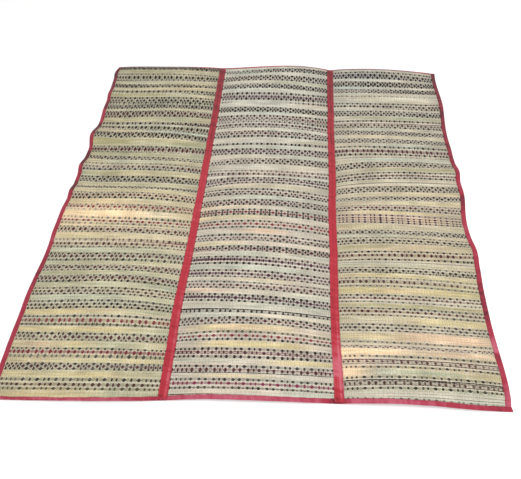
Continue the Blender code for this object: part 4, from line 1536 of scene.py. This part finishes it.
# %% How faded the bindings are, with the painted light and shade on them
# On the left binding the low stretches, such as 3 to 45, 165 to 238, 376 to 440 and 560 to 596 mm, are
# painted shade where the edge waves. On the right one, -736 to -714 and -18 to 25 mm are painted shade in
# folds, and -700 to -680 mm is a painted highlight.
SIDE_FADING_AND_SHADE = {
    "left": [
        (-930, 0.5), (-560, 0.46), (-330, 0.38), (-265, 0.6), (-200, 0.42), (-120, 0.48), (-60, 0.4),
        (-10, 0.32), (3, 0.14), (45, 0.14), (65, 0.32), (110, 0.38), (155, 0.32), (165, 0.14),
        (238, 0.14), (250, 0.28), (310, 0.38), (365, 0.28), (376, 0.08), (440, 0.08), (450, 0.3),
        (500, 0.42), (548, 0.32), (560, 0.16), (596, 0.16), (615, 0.28), (700, 0.26), (750, 0.17),
        (930, 0.16),
    ],
    "right": [
        (-930, 0.75), (-800, 0.62), (-755, 0.5), (-736, 0.27), (-714, 0.27), (-700, 1.0), (-680, 0.9),
        (-640, 0.6), (-300, 0.5), (-50, 0.42), (-18, 0.25), (25, 0.25), (55, 0.42), (200, 0.36),
        (930, 0.14),
    ],
}
END_FADING_AND_SHADE = {
    # Along the front strip the dips at -363 mm and from 283 to 325 mm are painted shade in the folds beside
    # the tapes' ends.
    "front": [
        (-918, 0.68), (-690, 0.72), (-578, 0.76), (-470, 0.74), (-363, 0.56), (-255, 0.74), (68, 0.78),
        (200, 0.72), (262, 0.6), (283, 0.4), (325, 0.4), (340, 0.62), (427, 0.78), (642, 0.68),
        (786, 0.58), (918, 0.5),
    ],
    "back": [
        (-884, 1.5), (-500, 1.5), (-345, 0.6), (-300, 0.34), (-210, 0.45), (0, 0.95), (110, 1.4),
        (250, 1.4), (300, 0.6), (360, 1.3), (600, 1.4), (780, 1.2), (880, 0.4), (915, 0.2),
    ],
}
faded = [*SIDE_FADING_AND_SHADE.values(), *END_FADING_AND_SHADE.values()]
print("fading is given at", sum(len(rows) for rows in faded), "places")

# %% The section of a folded strip
BINDING_CLOTH = 0.8 * MM
FOLD_STEPS = 8
FACE_STEPS = 6
FOLD_CENTRE = 0.6 * MM
FOLD_FLATTENED = 0.95


def fold_profile(reach):
    """The strip's section, from the underside round to the face, as (inwards, up) and a face share."""
    radius = (REED_CLOTH + 2 * ROOM + BINDING_CLOTH) / 2
    middle = REED_CLOTH / 2
    legs = [(blend(FOLD_CENTRE, reach, k / FACE_STEPS), k / FACE_STEPS) for k in range(1, FACE_STEPS + 1)]
    turns = [math.pi * k / FOLD_STEPS for k in range(FOLD_STEPS + 1)]
    under = [(inwards, middle - radius, 0.0) for inwards, _ in reversed(legs)]
    fold = [
        (FOLD_CENTRE - radius * FOLD_FLATTENED * math.sin(turn), middle - radius * math.cos(turn), 0.0)
        for turn in turns
    ]
    face = [(inwards, middle + radius, share) for inwards, share in legs]
    return np.array(under + fold + face)


print("points round a strip:", len(fold_profile(1.0)))

# %% A strip folded over an edge
WRINKLE_PITCH = 14.0 * MM
WRINKLE_REACH = 30.0 * MM
STRIP_CREASE_STEP = 11.0 * MM
FOLDED_EDGE_STEP = 26.0 * MM
STRIP_WANDER = 1.1 * MM
FOLDED_EDGE_WANDER = 0.3 * MM
STRIP_STITCHES_OVER = 0.5 * MM
PATTERN_ROUND_STRIP = 46.0 * MM


def wrap_strip(name, length, reach, seed, locate, start, end, pulls=(), slanted_end=0.0):
    """A folded strip along an edge. locate gives the place on the floor and the height there.

    It is wrinkled near the shares of its length given as pulls, and its end is cut at a slant.
    """
    random = np.random.default_rng(seed)
    rows = round(length / CLOTH_STEP)
    index = np.arange(rows + 1)
    places = np.linspace(0, length, rows + 1)
    wander = uneven(random, places, PUCKER_STEP)
    edge_wander = uneven(random, places, FOLDED_EDGE_STEP)
    creases = uneven(random, places, STRIP_CREASE_STEP)
    ribs = uneven(random, places, RIB_STEP)
    closed = fold_profile(0.0)
    opened = fold_profile(1.0)
    lines = len(closed) - 1

    def place(across, along):
        line = np.rint(across * lines).astype(int)
        step = along * rows
        share = blend(start, end, along)
        reaches = reach(share)
        inwards = closed[line, 0] + (opened[line, 0] - closed[line, 0]) * reaches
        face = closed[line, 2]
        share = share - slanted_end * np.clip(inwards / reaches, 0, 1) * along**8
        crease = np.interp(step + 2 * face, index, creases)
        inwards = inwards + face**4 * STRIP_WANDER * np.interp(step, index, wander)
        inwards = inwards - (1 - face) * FOLDED_EDGE_WANDER * np.interp(step, index, edge_wander)
        pulled = sum(fade(abs(along - pull) * length, WRINKLE_REACH) for pull in pulls)
        wrinkle = np.sin(2 * math.pi * (along * length + 0.8 * inwards) / WRINKLE_PITCH) * pulled
        puckers = np.sin(math.pi * np.clip(face, 0, 1)) * (0.35 + 0.45 * crease + 0.3 * wrinkle)
        x, y, base = locate(share, inwards)
        # Painted light and shade: creases and ribs lighten or darken the cloth, and the wrinkles' folds are
        # darkened as painted shade.
        painted_cloth_light = 0.08 * crease + 0.09 * np.interp(step + face, index, ribs) - 0.5 * np.maximum(wrinkle, 0)
        return x, y, base + closed[line, 1] + puckers * MM * (face > 0), painted_cloth_light

    piece = cloth_grid(name, lines, rows, place, (PATTERN_ROUND_STRIP, length))
    piece.data.materials.append(binding_cotton)
    seam = (lines - 1) / lines
    stitches[name] = [stitch_row(name + "_stitches", place, seam, length, STRIP_STITCHES_OVER)]
    return thicken(piece, BINDING_CLOTH, 0.0)


print("a strip wrinkles over", WRINKLE_REACH / MM, "mm beside a pull")

# %% Bindings along the sides
FRONT_TUCKED = 3.0 * MM


def side_binding(panel, seed):
    """The strip along the mat's left or right edge."""
    right_hand = panel == "right"
    edge = 1.0 if right_hand else 0.0
    inwards_sign = -1 if right_hand else 1
    x = float(plan(panel, edge, 0.0)[0])
    start = float(FRONT_REACH_AT(x) - FRONT_TUCKED + ROOM) / LENGTH
    end = 1 - float(BACK_REACH_AT(x) + ROOM) / LENGTH

    def locate(v, inwards):
        x, y = plan(panel, edge + inwards_sign * inwards / WIDTH[panel], v)
        return x, y, height(panel, np.full(len(v), edge), v)

    def reach(v):
        return np.full(len(v), SIDE_REACH[panel])

    length = LENGTH * (end - start)
    piece = wrap_strip("binding_cloth_" + panel, length, reach, seed, locate, start, end)
    set_fading_and_light(piece, SIDE_FADING_AND_SHADE[panel], 1)
    return piece


bindings = {"left": side_binding("left", 31), "right": side_binding("right", 32)}
print("side bindings:", {side: len(piece.data.polygons) for side, piece in bindings.items()})

# %% Bindings along the front and the back
FRONT_PULLS = (0.323, 0.652, 0.975)
FRONT_SLANTED = 7 * MM


def end_binding(end, edge, inwards_sign, reach_at, tail, seed, tucked=0.0, pulls=(), slanted_end=0.0):
    """The strip along the front or the back. Its share runs over the three panels in turn."""
    total = sum(WIDTH.values())
    first = -OVER_EDGE / total
    last = 1 + tail / total
    stops = np.cumsum([0.0] + [WIDTH[panel] / total for panel in PANELS])

    def panel_places(share, inwards):
        x = np.empty(len(share))
        y = np.empty(len(share))
        base = np.empty(len(share))
        for number, panel in enumerate(PANELS):
            low = -1.0 if number == 0 else stops[number]
            high = 2.0 if number == len(PANELS) - 1 else stops[number + 1]
            chosen = (share >= low) & (share < high)
            u = (share[chosen] - stops[number]) / (stops[number + 1] - stops[number])
            v = edge + inwards_sign * inwards[chosen] / LENGTH
            x[chosen], y[chosen] = plan(panel, u, v)
            base[chosen] = height(panel, u, np.full(len(u), edge))
        return x, y, base

    def reach(share):
        return reach_at(panel_places(share, np.zeros(len(share)))[0]) - tucked

    length = total * (last - first)
    name = "binding_cloth_" + end
    slant = slanted_end / total
    piece = wrap_strip(name, length, reach, seed, panel_places, first, last, pulls, slant)
    set_fading_and_light(piece, END_FADING_AND_SHADE[end], 0)
    return piece


bindings["front"] = end_binding(
    "front", 0.0, 1, FRONT_REACH_AT, FRONT_BINDING_TAIL, 33, FRONT_TUCKED, FRONT_PULLS, FRONT_SLANTED
)
bindings["back"] = end_binding("back", 1.0, -1, BACK_REACH_AT, OVER_EDGE, 34)
print("bindings:", {side: len(piece.data.polygons) for side, piece in bindings.items()})

# %% [markdown]
# ## What each piece stands for
#
# The fine pieces take the place of the plain solids, which are hidden. Each is hung under the
# mat's root.

for panel, piece in woven.items():
    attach(piece, "root")
    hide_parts("panel_" + panel)
for side, piece in tapes.items():
    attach(piece, "root")
    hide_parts("seam_tape_" + side)
    for row in stitches[piece.name]:
        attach(row, "root")
for side, piece in bindings.items():
    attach(piece, "root")
    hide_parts("binding_" + side)
    for row in stitches[piece.name]:
        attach(row, "root")
print("sheets declared:", len(woven) + len(tapes) + len(bindings))

# %% [markdown]
# ## Floor and light
#
# The floor is plain and nearly white. One large soft light hangs over the mat and a weaker one
# stands in front, and the sky around is white, so the shadows stay faint.

# %% Floor and sky
FLOOR_HALF = 6.0
FLOOR_BELOW = 0.4 * MM
FLOOR_WHITE = 0.96
SKY_STRENGTH = 0.92

floor_mesh = bmesh.new()
bmesh.ops.create_grid(floor_mesh, x_segments=1, y_segments=1, size=FLOOR_HALF)
floor = new_object("floor", floor_mesh)
floor_nodes = Nodes("floor")
floor_nodes.shader.inputs["Base Color"].default_value = (FLOOR_WHITE, FLOOR_WHITE, FLOOR_WHITE, 1.0)
floor_nodes.shader.inputs["Roughness"].default_value = 0.9
floor.data.materials.append(floor_nodes.material)
floor.location.z = -FLOOR_BELOW

world = bpy.data.worlds.new("sky")
world.use_nodes = True
sky = world.node_tree.nodes["Background"]
sky.inputs["Color"].default_value = (1.0, 1.0, 1.0, 1.0)
sky.inputs["Strength"].default_value = SKY_STRENGTH
bpy.context.scene.world = world
print("floor", 2 * FLOOR_HALF, "m wide, sky at", SKY_STRENGTH)


# %% Lights
def soft_light(name, place, size, power, towards):
    """A square light that is turned towards a place."""
    data = bpy.data.lights.new(name, "AREA")
    data.shape = "SQUARE"
    data.size = size
    data.energy = power
    light = bpy.data.objects.new(name, data)
    bpy.context.scene.collection.objects.link(light)
    backwards = Vector(place) - Vector(towards)
    light.rotation_euler = backwards.to_track_quat("Z", "Y").to_euler()
    light.location = place
    return light


soft_light("overhead", (0.5, -0.6, 3.0), 2.0, 42, (0.2, -0.4, 0.0))
soft_light("front", (1.6, -2.4, 2.1), 1.4, 14, (0.3, -0.5, 0.0))
bpy.context.scene.view_settings.view_transform = "Standard"
print("lights:", [item.name for item in bpy.data.lights])
